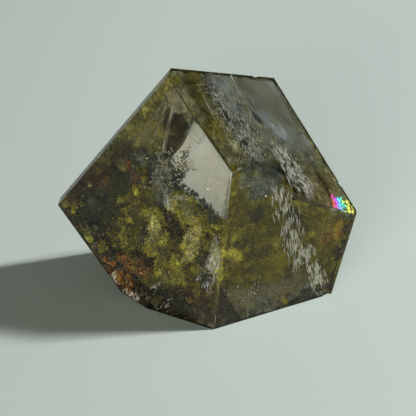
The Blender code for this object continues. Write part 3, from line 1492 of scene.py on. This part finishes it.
# The growths in the order that they are built.
MOSSES = (
    MossGrowth("moss_left", MOSS_LEFT, (
        Clump((-14.0, 0.5, 9.0), (9.0, 4.5, 8.0)),
        Clump((-7.5, -3.0, 11.0), (5.0, 4.0, 9.0)),
        Clump((-2.0, -6.0, 13.0), (4.5, 4.0, 8.5)),
        Clump((-3.5, -8.0, 4.5), (8.0, 5.5, 4.5)),
        Clump((-12.0, -4.0, 4.0), (6.0, 5.0, 4.0)),
        Clump((0.0, -11.5, 4.0), (3.0, 3.0, 5.0)),
        Clump((0.8, -9.6, 12.0), (1.8, 2.2, 6.0)),
    ), (
        Clump((-10.4, -2.0, 14.0), (1.4, 5.0, 3.0), 4.5),
        Clump((-5.0, -4.2, 11.2), (1.3, 6.0, 4.6), 4.5),
        Clump((-9.5, -3.0, 8.0), (2.4, 3.0, 1.0), 2.5),
    ), seed=3.0, rag=5.5, dip=2.6, knob=1.2),
    MossGrowth("moss_ridges", MOSS_RIDGES, (
        Clump((-11.5, -2.4, 19.0), (1.1, 1.2, 0.9), 1.2),
    ), strands=(
        Strand(((-10.6, -2.7, 17.1), (-9.2, -3.5, 16.8), (-8.2, -4.3, 15.7), (-7.8, -4.7, 14.0),
                (-8.2, -4.9, 12.2), (-8.7, -5.1, 10.3)), 1.2),
        Strand(((-12.1, -1.2, 15.6), (-13.0, -1.2, 13.6), (-13.5, -1.4, 11.5),
                (-13.6, -1.8, 9.4)), 1.2),
        Strand(((0.0, -8.5, 16.5), (-1.0, -8.2, 14.6), (-2.0, -8.1, 12.5), (-3.0, -8.1, 10.5),
                (-4.0, -8.0, 8.6)), 1.3),
        Strand(((-7.4, -6.3, 7.1), (-6.0, -7.3, 6.1), (-4.7, -8.1, 5.8), (-3.3, -8.4, 7.3)), 1.3),
        Strand(((-4.6, -5.3, 18.4), (-3.2, -6.0, 19.8), (-1.7, -6.8, 19.7), (-0.7, -7.6, 18.7),
                (-2.6, -6.4, 17.6)), 1.5),
        Strand(((0.9, -8.5, 19.2), (2.1, -9.4, 18.0)), 0.9),
        Strand(((-7.4, -5.7, 12.4), (-6.4, -6.4, 11.7)), 0.8),
        Strand(((-21.6, 1.6, 12.7), (-20.0, 0.0, 9.7), (-18.0, -1.8, 6.4)), 1.1),
    ), seed=210.0, voxel=0.2, dip=0.9, rag=2.2, rag_size=2.2, knob=0.6, knob_size=1.4, fuzz=0.8,
        fuzz_size=0.6, sway=1.6),
    MossGrowth("moss_rust", MOSS_RUST, (), strands=(
        Strand(((-13.9, -3.4, 5.8), (-12.4, -4.4, 5.7), (-10.9, -5.2, 5.6),
                (-9.3, -5.9, 5.3)), 0.8),
        Strand(((-17.2, -3.6, 5.5), (-14.9, -5.1, 4.1), (-12.6, -6.6, 2.9)), 0.9),
        Strand(((-23.9, 2.5, 14.3), (-22.6, 2.2, 15.2), (-21.8, 1.7, 14.5)), 0.4),
    ), seed=230.0, voxel=0.2, dip=0.5, rag=2.4, rag_size=1.8, knob=0.4, knob_size=1.2, fuzz=1.0,
        fuzz_size=0.6, sway=1.6),
    MossGrowth("moss_dark", MOSS_DARK, (
        Clump((-16.5, 3.6, 18.5), (8.0, 3.5, 6.5)),
        Clump((-18.5, 2.4, 13.5), (5.0, 2.5, 4.5)),
        Clump((-12.5, 1.6, 17.0), (4.0, 2.5, 3.6)),
        Clump((-18.5, 2.6, 21.5), (3.0, 2.0, 2.6), 2.5),
    ), seed=31.0, rag=4.0, knob=1.0, fuzz=0.9),
    MossGrowth("moss_grey", MOSS_GREY, (
        Clump((-8.0, 0.5, 22.5), (4.5, 3.0, 4.5)),
        Clump((-5.5, -2.8, 19.5), (2.8, 2.2, 3.6)),
    ), seed=61.0, rag=2.5, rag_size=3.0, knob=0.6, knob_size=2.0, voxel=0.26),
    MossGrowth("moss_crown", MOSS_CROWN, (
        Clump((-11.0, 2.6, 28.0), (6.5, 4.0, 8.0)),
        Clump((-6.5, 1.6, 35.0), (5.0, 4.0, 8.0)),
        Clump((-3.5, 0.2, 31.0), (2.4, 3.0, 6.0)),
    ), seed=53.0, rag=2.0, knob=0.3, fuzz=0.5, dip=1.3),
    MossGrowth("moss_border", MOSS_CROWN, (), strands=(
        Strand(((-5.8, -1.4, 40.0), (-12.2, -0.1, 30.6), (-18.2, 1.2, 22.4),
                (-23.8, 2.2, 14.7)), 1.5),
    ), seed=150.0, voxel=0.2, under_face=0.06, dip=0.06, rim_dip=0.06, rag=1.0, rag_size=1.6,
        knob=0.2,
        knob_size=1.2, fuzz=0.5, sway=0.3),
    MossGrowth("moss_upper", MOSS_UPPER, (
        Clump((-1.0, 2.5, 36.5), (6.0, 7.0, 5.0), 6.0),
        Clump((2.0, 0.0, 33.0), (5.0, 7.0, 5.0), 6.0),
        Clump((5.5, -2.5, 29.5), (5.0, 6.5, 5.0), 6.0),
        Clump((9.5, -3.5, 25.0), (4.5, 4.5, 4.0), 5.0),
        Clump((5.2, -7.4, 26.0), (3.0, 3.0, 2.4), 4.0),
        Clump((5.0, 8.0, 33.5), (6.0, 6.0, 5.0), 6.0),
        Clump((11.0, 9.5, 29.0), (6.0, 5.0, 6.0), 6.0),
        Clump((14.5, 3.0, 24.0), (7.0, 6.0, 6.0), 6.0),
        Clump((19.0, 1.5, 18.0), (6.0, 4.0, 5.0), 5.0),
        Clump((22.5, 0.0, 14.0), (4.0, 3.0, 3.0), 4.0),
    ), seed=52.0, rag=1.6, knob=0.25, knob_size=2.0, fuzz=0.4, dip=1.2),
    MossGrowth("moss_crest", MOSS_UPPER, (), strands=(
        Strand(((-5.6, -0.2, 40.2), (0.8, 4.8, 36.6), (10.4, 11.6, 31.7)), 1.6),
        Strand(((10.6, 11.8, 31.4), (16.9, 5.2, 22.8), (23.9, -1.2, 14.3)), 1.6),
        Strand(((3.8, -9.6, 27.6), (-1.1, -4.6, 33.8), (-5.6, -0.9, 39.6)), 1.5),
    ), seed=70.0, voxel=0.2, under_face=0.24, dip=0.24, rim_dip=0.1, rag=0.6, rag_size=2.0,
        knob=0.15,
        knob_size=1.2, fuzz=0.4, sway=0.3),
    MossGrowth("moss_right", MOSS_RIGHT, (
        Clump((6.0, -7.0, 20.0), (4.5, 3.2, 7.5)),
        Clump((5.2, -8.0, 25.4), (2.6, 2.2, 2.0), 3.0),
        Clump((10.5, -5.2, 19.5), (4.0, 2.6, 4.5), 3.5),
        Clump((6.0, -9.0, 11.0), (4.5, 4.0, 8.0)),
        Clump((12.0, -4.5, 9.0), (6.0, 4.0, 8.5)),
        Clump((18.5, -2.0, 9.0), (5.5, 3.5, 7.0)),
        Clump((9.0, -7.0, 3.0), (11.0, 6.0, 3.5)),
        Clump((20.5, -2.5, 13.5), (4.0, 2.5, 3.5)),
    ), seed=84.0, rag=3.2, rag_size=5.0, knob=0.7, knob_size=3.0, fuzz=0.7, fuzz_size=0.6, dip=1.4),
    MossGrowth("moss_back", MOSS_LEFT, (
        Clump((-9.0, 8.0, 8.0), (9.0, 5.0, 8.0)),
        Clump((3.0, 9.0, 3.0), (9.0, 7.0, 3.0)),
        Clump((12.0, 6.0, 4.0), (8.0, 6.0, 4.5)),
    ), seed=117.0, voxel=0.36),
    MossGrowth("moss_edge", MOSS_RIGHT, (), strands=(
        Strand(((4.2, -10.0, 27.6), (3.2, -11.6, 19.4)), 1.6),
        Strand(((3.2, -11.6, 19.4), (2.2, -13.2, 10.5), (1.3, -14.7, 1.1)), 0.8),
    ), seed=140.0, voxel=0.17, under_face=0.1, dip=0.1, rim_dip=0.1, rag=0.6, rag_size=2.0,
        knob=0.15, knob_size=1.2, fuzz=0.3, sway=0.2),
    MossGrowth("moss_rim", MOSS_RIM, (
        Clump((-23.0, 2.0, 13.0), (2.4, 2.2, 2.6)),
        Clump((-20.0, 0.0, 9.0), (2.6, 2.4, 3.2)),
        Clump((-16.5, -3.0, 4.8), (2.8, 2.6, 2.8)),
        Clump((-13.0, -6.0, 2.4), (3.0, 2.6, 2.2)),
        Clump((-8.5, -8.6, 1.4), (3.2, 2.4, 1.8)),
        Clump((-3.5, -11.0, 1.2), (3.4, 2.6, 1.6)),
        Clump((1.2, -13.6, 1.6), (2.6, 2.2, 1.8)),
        Clump((6.5, -11.4, 0.9), (3.4, 2.4, 1.2)),
        Clump((12.5, -8.8, 0.8), (3.8, 2.4, 1.1)),
        Clump((18.5, -6.0, 0.9), (3.6, 2.2, 1.2)),
    ), strands=(
        Strand(((-24.6, 2.2, 13.3), (-21.2, -0.5, 8.9), (-17.5, -3.7, 4.1), (-13.6, -6.6, 0.9),
                (-9.4, -9.0, 0.5), (-3.5, -12.2, 0.5), (0.6, -14.4, 0.6)), 1.1),
        Strand(((1.4, -14.5, 0.5), (10.0, -10.2, 0.5), (21.0, -5.2, 0.6), (24.9, -1.2, 13.6)), 0.9),
    ), seed=163.0, voxel=0.26, under_face=0.08, dip=0.4, rim_dip=0.08, rag=2.0, rag_size=2.2,
        knob=0.4, knob_size=1.6, fuzz=0.9, fuzz_size=0.8, sway=1.0),
)

# Loose grains on seven of the growths.
DUSTS = (
    GrainDust("grains_left", MOSS_LEFT, "moss_left", 6.0, 0.7, 0.15, seed=11),
    GrainDust("grains_ridges", MOSS_RIDGES, "moss_ridges", 14.0, 0.5, 0.13, seed=12),
    GrainDust("grains_rust", MOSS_RUST, "moss_rust", 16.0, 0.7, 0.13, seed=13),
    GrainDust("grains_dark", MOSS_DARK, "moss_dark", 7.0, 0.7, 0.15, seed=14),
    GrainDust("grains_grey", MOSS_GREY, "moss_grey", 10.0, 0.8, 0.14, seed=15),
    GrainDust("grains_right", MOSS_RIGHT, "moss_right", 5.0, 0.6, 0.12, seed=16),
    GrainDust("grains_rim", MOSS_RIM, "moss_rim", 6.0, 0.5, 0.13, seed=17),
)

# The facets that a band of flakes faces, the size of a granule, and the flakes' finishes.
LEFT_FACE = (-0.461, -0.864, 0.203)
FRONT = (0.449, -0.886, 0.111)
TOP = (0.612, -0.332, 0.718)
GRAIN = {"length": (0.22, 0.5), "breadth": 0.5, "thick": 0.28, "lean": 1.5}
PALE = FlakeFinish("pale_flakes", (0.94, 0.96, 0.90), (0.62, 0.63, 0.55))
SILVER = FlakeFinish("silver_flakes", (0.92, 0.96, 0.98), (0.46, 0.50, 0.48))
DULL = FlakeFinish("dull_flakes", (0.60, 0.58, 0.45), (0.34, 0.33, 0.22))
RUSTY = FlakeFinish("rusty_specks", (0.62, 0.18, 0.03), (0.30, 0.07, 0.02), 0.6)
GRANULE = FlakeFinish("green_granules", (0.055, 0.065, 0.025), (0.01, 0.014, 0.008), 0.7)
PURE = FlakeFinish("white_needles", (1.0, 1.0, 1.0), (0.74, 0.78, 0.72))
# Painted highlights: pale lines just under facet edges, where the polished edges catch the light.
EDGE_HIGHLIGHT = FlakeFinish("painted_edge_highlight", (0.62, 0.62, 0.50), (0.36, 0.36, 0.26))
# Painted glints: these specks glow by emission, though they are no lamp.
GLINT_GLOW = FlakeFinish("painted_glints", (1.0, 1.0, 0.95), (0.9, 0.9, 0.85), 0.2, glow=0.8)
# The crack's colours are its own; their glow by emission is painted light.
FIRE = FireFinish("split_light", (20.8, -2.3, 16.8), (0.87, 0.40, -0.28), 3.6, glow=0.68)

# Bands of pale flakes, needles, granules and specks.
BANDS = (
    FlakeBand("flakes_right", PALE,
        ((12.0, -6.4, 22.5), (13.1, -6.5, 17.6), (14.4, -6.4, 12.6), (15.4, -6.7, 6.7)), FRONT, 480,
        2.5, 0.25, (0.6, 2.6), 0.12, lean=0.3, skew=0.2, sparse=0.48, under_face=0.1, seed=5),
    FlakeBand("flakes_foot", PALE,
        ((16.6, -5.9, 10.0), (18.3, -5.6, 5.7), (19.5, -5.5, 1.0)), FRONT, 280, 1.7, 0.25,
        (0.5, 2.2), 0.14, lean=0.4, skew=0.1, sparse=0.44, under_face=0.1, seed=6),
    FlakeBand("flakes_veil", PURE,
        ((11.9, 0.9, 26.2), (13.3, -0.9, 24.1), (15.0, -2.6, 21.8), (17.3, -3.6, 19.4)), TOP, 520,
        2.8, 0.25, (0.4, 1.9), 0.14, lean=0.45, skew=0.15, sparse=0.43, under_face=0.06, seed=9),
    FlakeBand("flakes_upper", PURE,
        ((0.1, 4.2, 37.6), (1.9, 2.7, 35.4), (3.6, 1.1, 33.2), (5.4, -0.7, 30.8), (6.9, -2.7, 28.6),
         (8.3, -4.4, 26.6)), TOP, 1100, 4.2, 0.3, (0.2, 1.0), 0.1, lean=1.3, sparse=0.42,
        under_face=0.07, seed=14),
    FlakeBand("ridge_line", SILVER,
        ((5.8, 5.4, 33.4), (7.15, 4.2, 31.8), (8.5, 3.3, 30.2)), TOP, 12, 0.2, 0.05, (0.8, 2.4),
        0.07, lean=0.04, sparse=0.0, under_face=0.06, seed=16),
    FlakeBand("ridge_bright", PURE,
        ((3.9, 7.5, 36.0), (4.8, 6.2, 34.65), (5.8, 5.4, 33.4)), TOP, 14, 0.4, 0.1, (0.8, 2.4), 0.1,
        lean=0.05, sparse=0.0, under_face=0.06, seed=54),
    FlakeBand("crest_line", SILVER,
        ((-0.7, 0.0, 36.5), (0.35, -1.8, 34.75), (1.65, -3.3, 33.0)), TOP, 12, 0.1, 0.05,
        (0.8, 2.0), 0.09, lean=0.04, sparse=0.0, under_face=0.06, seed=55),
    FlakeBand("needles_a", PURE,
        ((-16.7, -4.2, 5.0), (-15.2, -5.4, 3.3), (-13.6, -6.6, 2.1), (-11.6, -7.9, 1.5)), LEFT_FACE,
        260, 1.5, 0.2, (0.6, 1.9), 0.15, lean=3.0, skew=4.5, sparse=0.42, under_face=0.06, seed=21),
    FlakeBand("needles_b", PURE,
        ((-11.0, -8.2, 1.6), (-8.6, -9.5, 1.4), (-6.1, -10.7, 1.4)), LEFT_FACE, 60, 1.4, 0.2,
        (0.5, 1.3), 0.1, lean=0.8, skew=-2.1, sparse=0.46, under_face=0.06, seed=22),
    FlakeBand("needles_c", PURE,
        ((-9.3, -8.9, 3.1), (-8.4, -9.0, 4.7)), LEFT_FACE, 20, 0.9, 0.3, (0.6, 1.6), 0.1, lean=0.4,
        skew=0.1, sparse=0.3, under_face=0.08, seed=23),
    FlakeBand("smear_top", SILVER,
        ((2.3, -12.1, 15.9), (1.6, -12.5, 12.6), (1.0, -13.0, 9.3)), LEFT_FACE, 260, 1.9, 0.3,
        (0.25, 1.1), 0.1, lean=0.6, sparse=0.46, under_face=0.06, seed=25),
    FlakeBand("smear_low", SILVER,
        ((1.0, -13.0, 9.3), (0.7, -13.4, 6.8)), LEFT_FACE, 70, 1.1, 0.3, (0.3, 1.1), 0.1, lean=0.6,
        sparse=0.48, under_face=0.06, seed=27),
    FlakeBand("fan", SILVER,
        ((-1.2, -11.7, 8.3), (0.0, -12.7, 6.6)), LEFT_FACE, 60, 1.0, 0.3, (0.3, 1.2), 0.12,
        lean=0.7, skew=0.8, sparse=0.44, under_face=0.1, seed=26),
    FlakeBand("cluster", SILVER,
        ((-6.6, -6.0, 19.9), (-6.0, -6.6, 18.6)), LEFT_FACE, 110, 1.0, 0.4, (0.2, 0.6), 0.15,
        lean=1.5, sparse=0.3, under_face=0.15, seed=29),
    FlakeBand("cluster_top", PALE,
        ((-4.9, -6.7, 20.4), (-3.5, -7.3, 21.2)), LEFT_FACE, 40, 0.6, 0.3, (0.2, 0.5), 0.15,
        lean=1.5, sparse=0.3, under_face=0.15, seed=30),
    FlakeBand("streaks", DULL,
        ((-4.9, -2.6, 37.8), (-5.5, -3.0, 34.8), (-6.4, -3.3, 31.3), (-7.0, -3.7, 28.1)), LEFT_FACE,
        22, 0.6, 0.3, (2.5, 6.0), 0.2, lean=0.04, sparse=0.0, under_face=0.15, seed=33),
    FlakeBand("streaks_dim", DULL,
        ((-5.7, -2.0, 37.8), (-7.1, -2.1, 34.3), (-8.2, -2.4, 30.7)), LEFT_FACE, 18, 1.4, 0.4,
        (2.0, 5.0), 0.14, lean=0.06, sparse=0.0, under_face=0.15, seed=34),
    FlakeBand("granules_a", GRANULE,
        ((-2.6, -3.9, 28.8), (-3.6, -3.9, 26.6)), LEFT_FACE, 40, 0.9, 0.3, sparse=0.3,
        under_face=0.04, seed=37, **GRAIN),
    FlakeBand("granules_b", GRANULE,
        ((-2.4, -4.5, 26.5), (-4.7, -3.8, 24.1)), LEFT_FACE, 120, 1.7, 0.3, sparse=0.42,
        under_face=0.04, seed=38, **GRAIN),
    FlakeBand("granules_c", GRANULE,
        ((-4.4, -5.6, 25.6), (-5.4, -6.0, 22.6)), LEFT_FACE, 170, 1.8, 0.3, sparse=0.42,
        under_face=0.04, seed=39, **GRAIN),
    FlakeBand("granules_d", GRANULE,
        ((-6.0, -3.0, 27.7), (-7.7, -3.2, 24.4), (-8.8, -3.4, 21.0)), LEFT_FACE, 300, 3.4, 0.4,
        sparse=0.46, under_face=0.05, seed=40, **GRAIN),
    FlakeBand("granules_pale", DULL,
        ((-6.4, -3.6, 28.2), (-7.6, -4.4, 24.6), (-7.4, -5.4, 21.0)), LEFT_FACE, 220, 3.4, 0.4,
        sparse=0.44, under_face=0.1, seed=53, **GRAIN),
    FlakeBand("flecks_foot", PALE,
        ((8.4, -10.7, 6.3), (7.5, -11.3, 4.7), (6.6, -11.9, 3.5), (7.2, -11.9, 1.0)), FRONT, 60,
        1.2, 0.2, (0.2, 0.8), 0.14, lean=0.9, sparse=0.42, under_face=0.05, seed=51),
    FlakeBand("flecks_line", PALE,
        ((2.7, -13.4, 7.4), (3.5, -13.25, 5.5), (4.4, -13.05, 3.7)), FRONT, 14, 0.4, 0.2,
        (0.2, 0.7), 0.1, lean=0.5, sparse=0.45, under_face=0.05, seed=52),
    FlakeBand("granules_edge", GRANULE,
        ((-3.6, -7.2, 23.1), (-1.9, -8.3, 22.0), (0.0, -9.6, 21.0), (1.8, -10.9, 19.4)), LEFT_FACE,
        130, 0.8, 0.3, sparse=0.42, under_face=0.05, seed=56, **GRAIN),
    FlakeBand("specks_rust", RUSTY,
        ((-14.7, -0.2, 26.6), (-13.7, -1.0, 25.3), (-12.6, -1.8, 23.9)), LEFT_FACE, 80, 1.5, 0.3,
        (0.2, 0.6), 0.3, 0.2, 1.5, sparse=0.5, under_face=0.12, seed=41),
    FlakeBand("specks_red", RUSTY,
        ((-11.7, -2.7, 22.6), (-10.6, -3.6, 21.0)), LEFT_FACE, 60, 1.7, 0.4, (0.15, 0.5), 0.3, 0.2,
        1.5, sparse=0.48, under_face=0.15, seed=42),
    # Painted edge highlights along the front edge and along the upper facet's lower edge.
    FlakeBand("edge_front", EDGE_HIGHLIGHT,
        ((4.0, -10.2, 27.2), (3.2, -11.6, 19.1), (2.3, -13.1, 10.7), (1.4, -14.75, 1.5)), FRONT, 40,
        0.06, 0.03, (1.5, 4.5), 0.06, lean=0.02, sparse=0.0, under_face=0.03, seed=48),
    FlakeBand("edge_top", EDGE_HIGHLIGHT,
        ((4.8, -9.6, 27.3), (9.0, -7.5, 24.7), (15.4, -4.55, 20.6), (21.4, -1.9, 16.7)), TOP, 18,
        0.06, 0.03, (1.0, 3.5), 0.05, lean=0.02, sparse=0.0, under_face=0.03, seed=49),
    FlakeBand("fire_crack", FIRE,
        ((21.4, -1.8, 16.7), (22.8, -1.4, 15.8), (24.2, -1.0, 14.7)), TOP, 135, 1.5, 0.25,
        (0.25, 0.7), 0.4, lean=1.5, sparse=0.42, under_face=0.1, seed=45),
)
GLINTS = Glints("glints", GLINT_GLOW,
    ((5.1, -11.6, 6.3), (5.9, -11.6, 3.5), (7.8, -10.5, 4.2), (16.0, -6.7, 1.7), (9.6, -7.6, 21.6),
     (-9.6, -2.2, 25.6), (0.4, -8.3, 23.4), (12.2, 0.6, 25.2), (1.0, -13.2, 3.0)), seed=47)

# The way down the upper facet, and the films' finishes.
DOWN_TOP = (0.45, -0.41, -0.79)
BLUE_GREY_HAZE_AND_SHEEN = HazeFinish("blue_grey_haze_and_sheen", (0.46, 0.54, 0.56), (0.32, 0.34, 0.28), 0.35, 0.8,
                            4.0, DOWN_TOP, 3.0)
HAZE_THIN = HazeFinish("thin_haze", (0.56, 0.65, 0.68), (0.42, 0.45, 0.38), 0.0, 0.55, 1.2,
                       DOWN_TOP, 4.0)
SKY_SHEEN = HazeFinish("painted_sky_sheen", (0.70, 0.79, 0.81), (0.52, 0.60, 0.60), 0.15, 0.75, 1.6,
                        DOWN_TOP, 2.0)
DUSKY_HAZE_AND_SHEEN = HazeFinish("dusky_haze_and_sheen", (0.60, 0.66, 0.66), (0.42, 0.46, 0.44), 0.3, 0.8, 1.4,
                        DOWN_TOP, 2.0)
HAZE_NIGHT = HazeFinish("night_haze", (0.07, 0.10, 0.12), (0.14, 0.17, 0.18), 0.25, 0.85, 0.8)
HAZE_WEDGE = HazeFinish("wedge_shade", (0.15, 0.125, 0.02), (0.09, 0.08, 0.02), 0.5, 0.9, 0.8)
HAZE_DRAWN = HazeFinish("drawn_haze", (0.56, 0.54, 0.34),
    (0.38, 0.35, 0.15), 0.0, 0.48, 0.8, (-0.24, -0.12, -0.96), 9.0)
HAZE_GOLD = HazeFinish("gold_mist", (0.17, 0.15, 0.01), (0.07, 0.065, 0.01), 0.3, 0.9, 0.7)
PEAK_HIGHLIGHT = HazeFinish("painted_peak_highlight", (0.62, 0.55, 0.39), (0.45, 0.41, 0.24), 0.3, 0.85, 0.8)
HAZE_UMBER = HazeFinish("umber_mist", (0.13, 0.06, 0.02), (0.05, 0.045, 0.02), 0.1, 0.75, 1.5)
HAZE_SMOKE = HazeFinish("grey_smoke", (0.46, 0.48, 0.38), (0.32, 0.33, 0.22), 0.0, 0.6, 1.4)
HAZE_SAND = HazeFinish("sand_haze", (0.59, 0.62, 0.55), (0.54, 0.57, 0.50), 0.8, 1.0, 1.0)
HAZE_BORDER = HazeFinish("border_mist", (0.24, 0.23, 0.11), (0.13, 0.12, 0.06), 0.6, 1.0, 0.7)
HAZE_MIST = HazeFinish("olive_mist", (0.21, 0.19, 0.03), (0.12, 0.13, 0.06), 0.0, 0.42, 2.4)
HAZE_TAN = HazeFinish("tan_mist", (0.30, 0.28, 0.05), (0.12, 0.11, 0.02), 0.0, 0.16, 1.2)
HAZE_DUSK = HazeFinish("dusk_mist", (0.36, 0.35, 0.20), (0.24, 0.23, 0.12), 0.35, 0.85, 1.2)
FOOT_REFLECTION = HazeFinish("painted_dark_reflection", (0.04, 0.04, 0.015), (0.06, 0.045, 0.02), 0.55, 0.85, 2.0)
SMEAR_REFLECTION = HazeFinish("painted_smear_reflection", (0.88, 0.88, 0.76),
    (0.50, 0.50, 0.36), 0.05, 1.0, 0.6, (0.0, -0.1, 1.0), 1.6)
HAZE_PANE = HazeFinish("pane_bloom", (1.0, 0.95, 0.77), (0.95, 0.89, 0.71), 0.18, 0.32, 3.0)

# Cloudy films in healed cracks, and sheets of painted sheen, reflection, highlight and shade.
FILMS = (
    # Partly a healed crack, partly painted sheen: the room's reflection on the upper facet's right
    # part, painted as a blue-grey film.
    HazeFilm("haze_right", BLUE_GREY_HAZE_AND_SHEEN,
        ((4.2, 7.2, 35.6), (13.5, -1.0, 24.0), (19.6, 1.6, 20.1), (11.2, 12.2, 32.0)),
        edges=(0.02, 0.35, 0.02, 0.02), wave=0.04),
    # Painted sheen: a pale blue-grey reflection of the room on the upper facet.
    HazeFilm("haze_bloom", SKY_SHEEN,
        ((8.6, 4.6, 30.6), (12.6, 0.6, 25.8), (15.8, 2.9, 24.0), (11.9, 7.3, 29.0)), steps=32,
        edges=(0.35, 0.35, 0.2, 0.4), wave=0.06),
    # Partly haze, partly painted sheen of the same reflection at the facet's right end.
    HazeFilm("haze_dusk", DUSKY_HAZE_AND_SHEEN,
        ((15.6, 7.5, 26.0), (13.7, 2.6, 25.4), (16.9, 2.4, 22.6), (18.6, 4.2, 21.9)), steps=32,
        edges=(0.05, 0.3, 0.3, 0.4), wave=0.05),
    HazeFilm("haze_night", HAZE_NIGHT,
        ((9.7, -4.95, 25.4), (11.0, -6.0, 23.8), (12.85, -5.2, 22.6), (11.55, -3.3, 24.57)),
        steps=20, edges=(0.3, 0.03, 0.3, 0.3), wave=0.02),
    HazeFilm("wedge_shade", HAZE_WEDGE,
        ((13.6, -6.12, 21.38), (21.6, -2.75, 15.94), (19.9, -3.58, 16.19), (14.9, -5.72, 19.36)),
        steps=24, edges=(0.1, 0.1, 0.03, 0.25), wave=0.02),
    HazeFilm("haze_left", HAZE_THIN,
        ((-1.8, 2.8, 38.6), (8.3, -6.8, 25.6), (13.4, -0.7, 24.1), (4.0, 7.2, 35.8)),
        edges=(0.02, 0.2, 0.3, 0.05), wave=0.04),
    HazeFilm("haze_crown", HAZE_DRAWN,
        ((-9.8, -0.6, 34.8), (-5.4, -1.9, 39.0), (-6.2, -4.2, 28.8), (-15.0, 0.1, 25.5)),
        edges=(0.1, 0.1, 0.1, 0.3), wave=0.12),
    HazeFilm("gold_crest", HAZE_GOLD,
        ((-5.2, -2.17, 41.17), (-1.34, -5.52, 35.68), (-2.23, -5.22, 34.94), (-5.85, -2.17, 39.69)),
        steps=24, edges=(0.15, 0.1, 0.1, 0.15), wave=0.04),
    HazeFilm("gold_brow", HAZE_GOLD,
        ((-4.54, 0.35, 39.96), (-2.61, 1.79, 38.97), (1.14, -3.01, 33.56), (-0.72, -4.34, 34.54)),
        steps=24, edges=(0.2, 0.1, 0.3, 0.1), wave=0.04),
    # Painted highlight: a beige wedge of reflected light under the top corner.
    HazeFilm("haze_peak", PEAK_HIGHLIGHT,
        ((-7.47, -1.53, 38.42), (-5.5, -2.23, 39.93), (-2.6, -4.75, 35.81), (-5.37, -3.48, 34.88)),
        steps=24, edges=(0.15, 0.2, 0.15, 0.55), wave=0.05),
    HazeFilm("rust_border", HAZE_UMBER,
        ((-14.08, -0.38, 28.48), (-12.25, -1.6, 27.48), (-19.24, -0.35, 16.89),
         (-22.72, 1.43, 16.55)), steps=32, edges=(0.1, 0.4, 0.3, 0.3), wave=0.06),
    HazeFilm("haze_smoke", HAZE_SMOKE,
        ((-9.6, -2.6, 29.0), (-5.2, -5.1, 28.2), (-4.6, -7.1, 20.4), (-9.8, -5.0, 17.6)),
        edges=(0.4, 0.3, 0.4, 0.3), wave=0.1),
    HazeFilm("haze_tip", HAZE_SAND,
        ((-2.4, -5.0, 35.2), (0.1, -7.0, 32.4), (-1.2, -6.8, 30.3), (-3.5, -5.3, 31.6)), steps=16,
        edges=(0.4, 0.3, 0.03, 0.3), wave=0.02),
    HazeFilm("haze_border", HAZE_BORDER,
        ((-2.06, -5.27, 35.07), (-1.58, -5.43, 35.53), (3.87, -10.02, 28.33), (3.72, -9.99, 28.15)),
        steps=24, edges=(0.05, 0.05, 0.1, 0.1), wave=0.0),
    HazeFilm("haze_tail", HAZE_SAND,
        ((4.1, -9.9, 27.8), (5.6, -8.0, 27.4), (5.8, -8.3, 27.1), (4.4, -10.1, 27.5)), steps=8,
        edges=(0.05, 0.05, 0.1, 0.2), wave=0.0),
    # Painted reflection: a soft pale smear near the front edge of the left facet.
    HazeFilm("haze_smear", SMEAR_REFLECTION,
        ((2.0, -11.85, 16.1), (2.73, -12.12, 16.7), (1.74, -13.77, 7.4), (-1.0, -11.6, 10.4)),
        steps=24, edges=(0.25, 0.02, 0.15, 0.25), wave=0.02),
    HazeFilm("haze_pane", HAZE_PANE,
        ((-2.15, -4.45, 35.5), (4.05, -9.55, 27.6), (3.05, -11.15, 19.1), (-6.35, -4.55, 25.5)),
        edges=(0.1, 0.06, 0.15, 0.08), wave=0.0),
    HazeFilm("haze_foot", HAZE_SMOKE,
        ((3.0, -12.8, 7.0), (19.2, -4.8, 6.6), (20.0, -5.1, 0.5), (6.5, -11.9, 0.6)),
        edges=(0.2, 0.2, 0.5, 0.1), wave=0.2),
    HazeFilm("foot_mist", HAZE_DUSK,
        ((2.24, -13.51, 8.3), (9.2, -10.4, 5.2), (9.2, -10.95, 0.5), (5.62, -12.78, 0.4)), steps=24,
        edges=(0.03, 0.3, 0.4, 0.2), wave=0.04),
    # Painted reflection: a dark sheet where a dark reflection lies on the front foot.
    HazeFilm("shade_foot", FOOT_REFLECTION,
        ((2.07, -13.6, 8.2), (5.9, -12.7, 0.2), (3.6, -13.87, 0.2), (1.4, -14.9, 0.4)), steps=16,
        edges=(0.05, 0.05, 0.03, 0.05), wave=0.0),
    HazeFilm("mist_left", HAZE_MIST,
        ((-17.6, 0.7, 23.4), (-6.7, -5.0, 24.0), (-3.5, -10.9, 6.2), (-19.9, -1.3, 9.8)),
        edges=(0.3, 0.3, 0.3, 0.3), wave=0.1),
    HazeFilm("mist_right", HAZE_TAN,
        ((4.6, -9.8, 25.6), (21.2, -2.6, 16.0), (20.8, -4.6, 1.8), (3.4, -13.0, 4.8)),
        edges=(0.15, 0.3, 0.2, 0.2), wave=0.1),
)


# -------------------------------------------------------------------- the stone


@dataclass
class GardenStone:
    """The dressed stone with everything that has grown in it, in the order of its making."""

    solid: bpy.types.Object
    finish: ClearQuartz = ClearQuartz()
    grown: tuple[Growth, ...] = (*MOSSES, *DUSTS, *BANDS, GLINTS, *FILMS)

    def dress(self) -> None:
        """Gives the solid its clear polished finish."""
        self.solid.data.materials.clear()
        self.solid.data.materials.append(self.finish.material())
        LOG.info("%s dressed", self.solid.name)

    def build(self) -> None:
        """Dresses the solid and builds everything that has grown in it."""
        self.dress()
        for growth in self.grown:
            growth.build()


def main() -> None:
    """Builds the stone and its studio in order."""
    logging.basicConfig(level=logging.INFO, format="%(name)s: %(message)s")
    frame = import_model()
    GardenStone(frame["nodes"][NODE]).build()
    Studio().build()


if __name__ == "__main__":
    main()
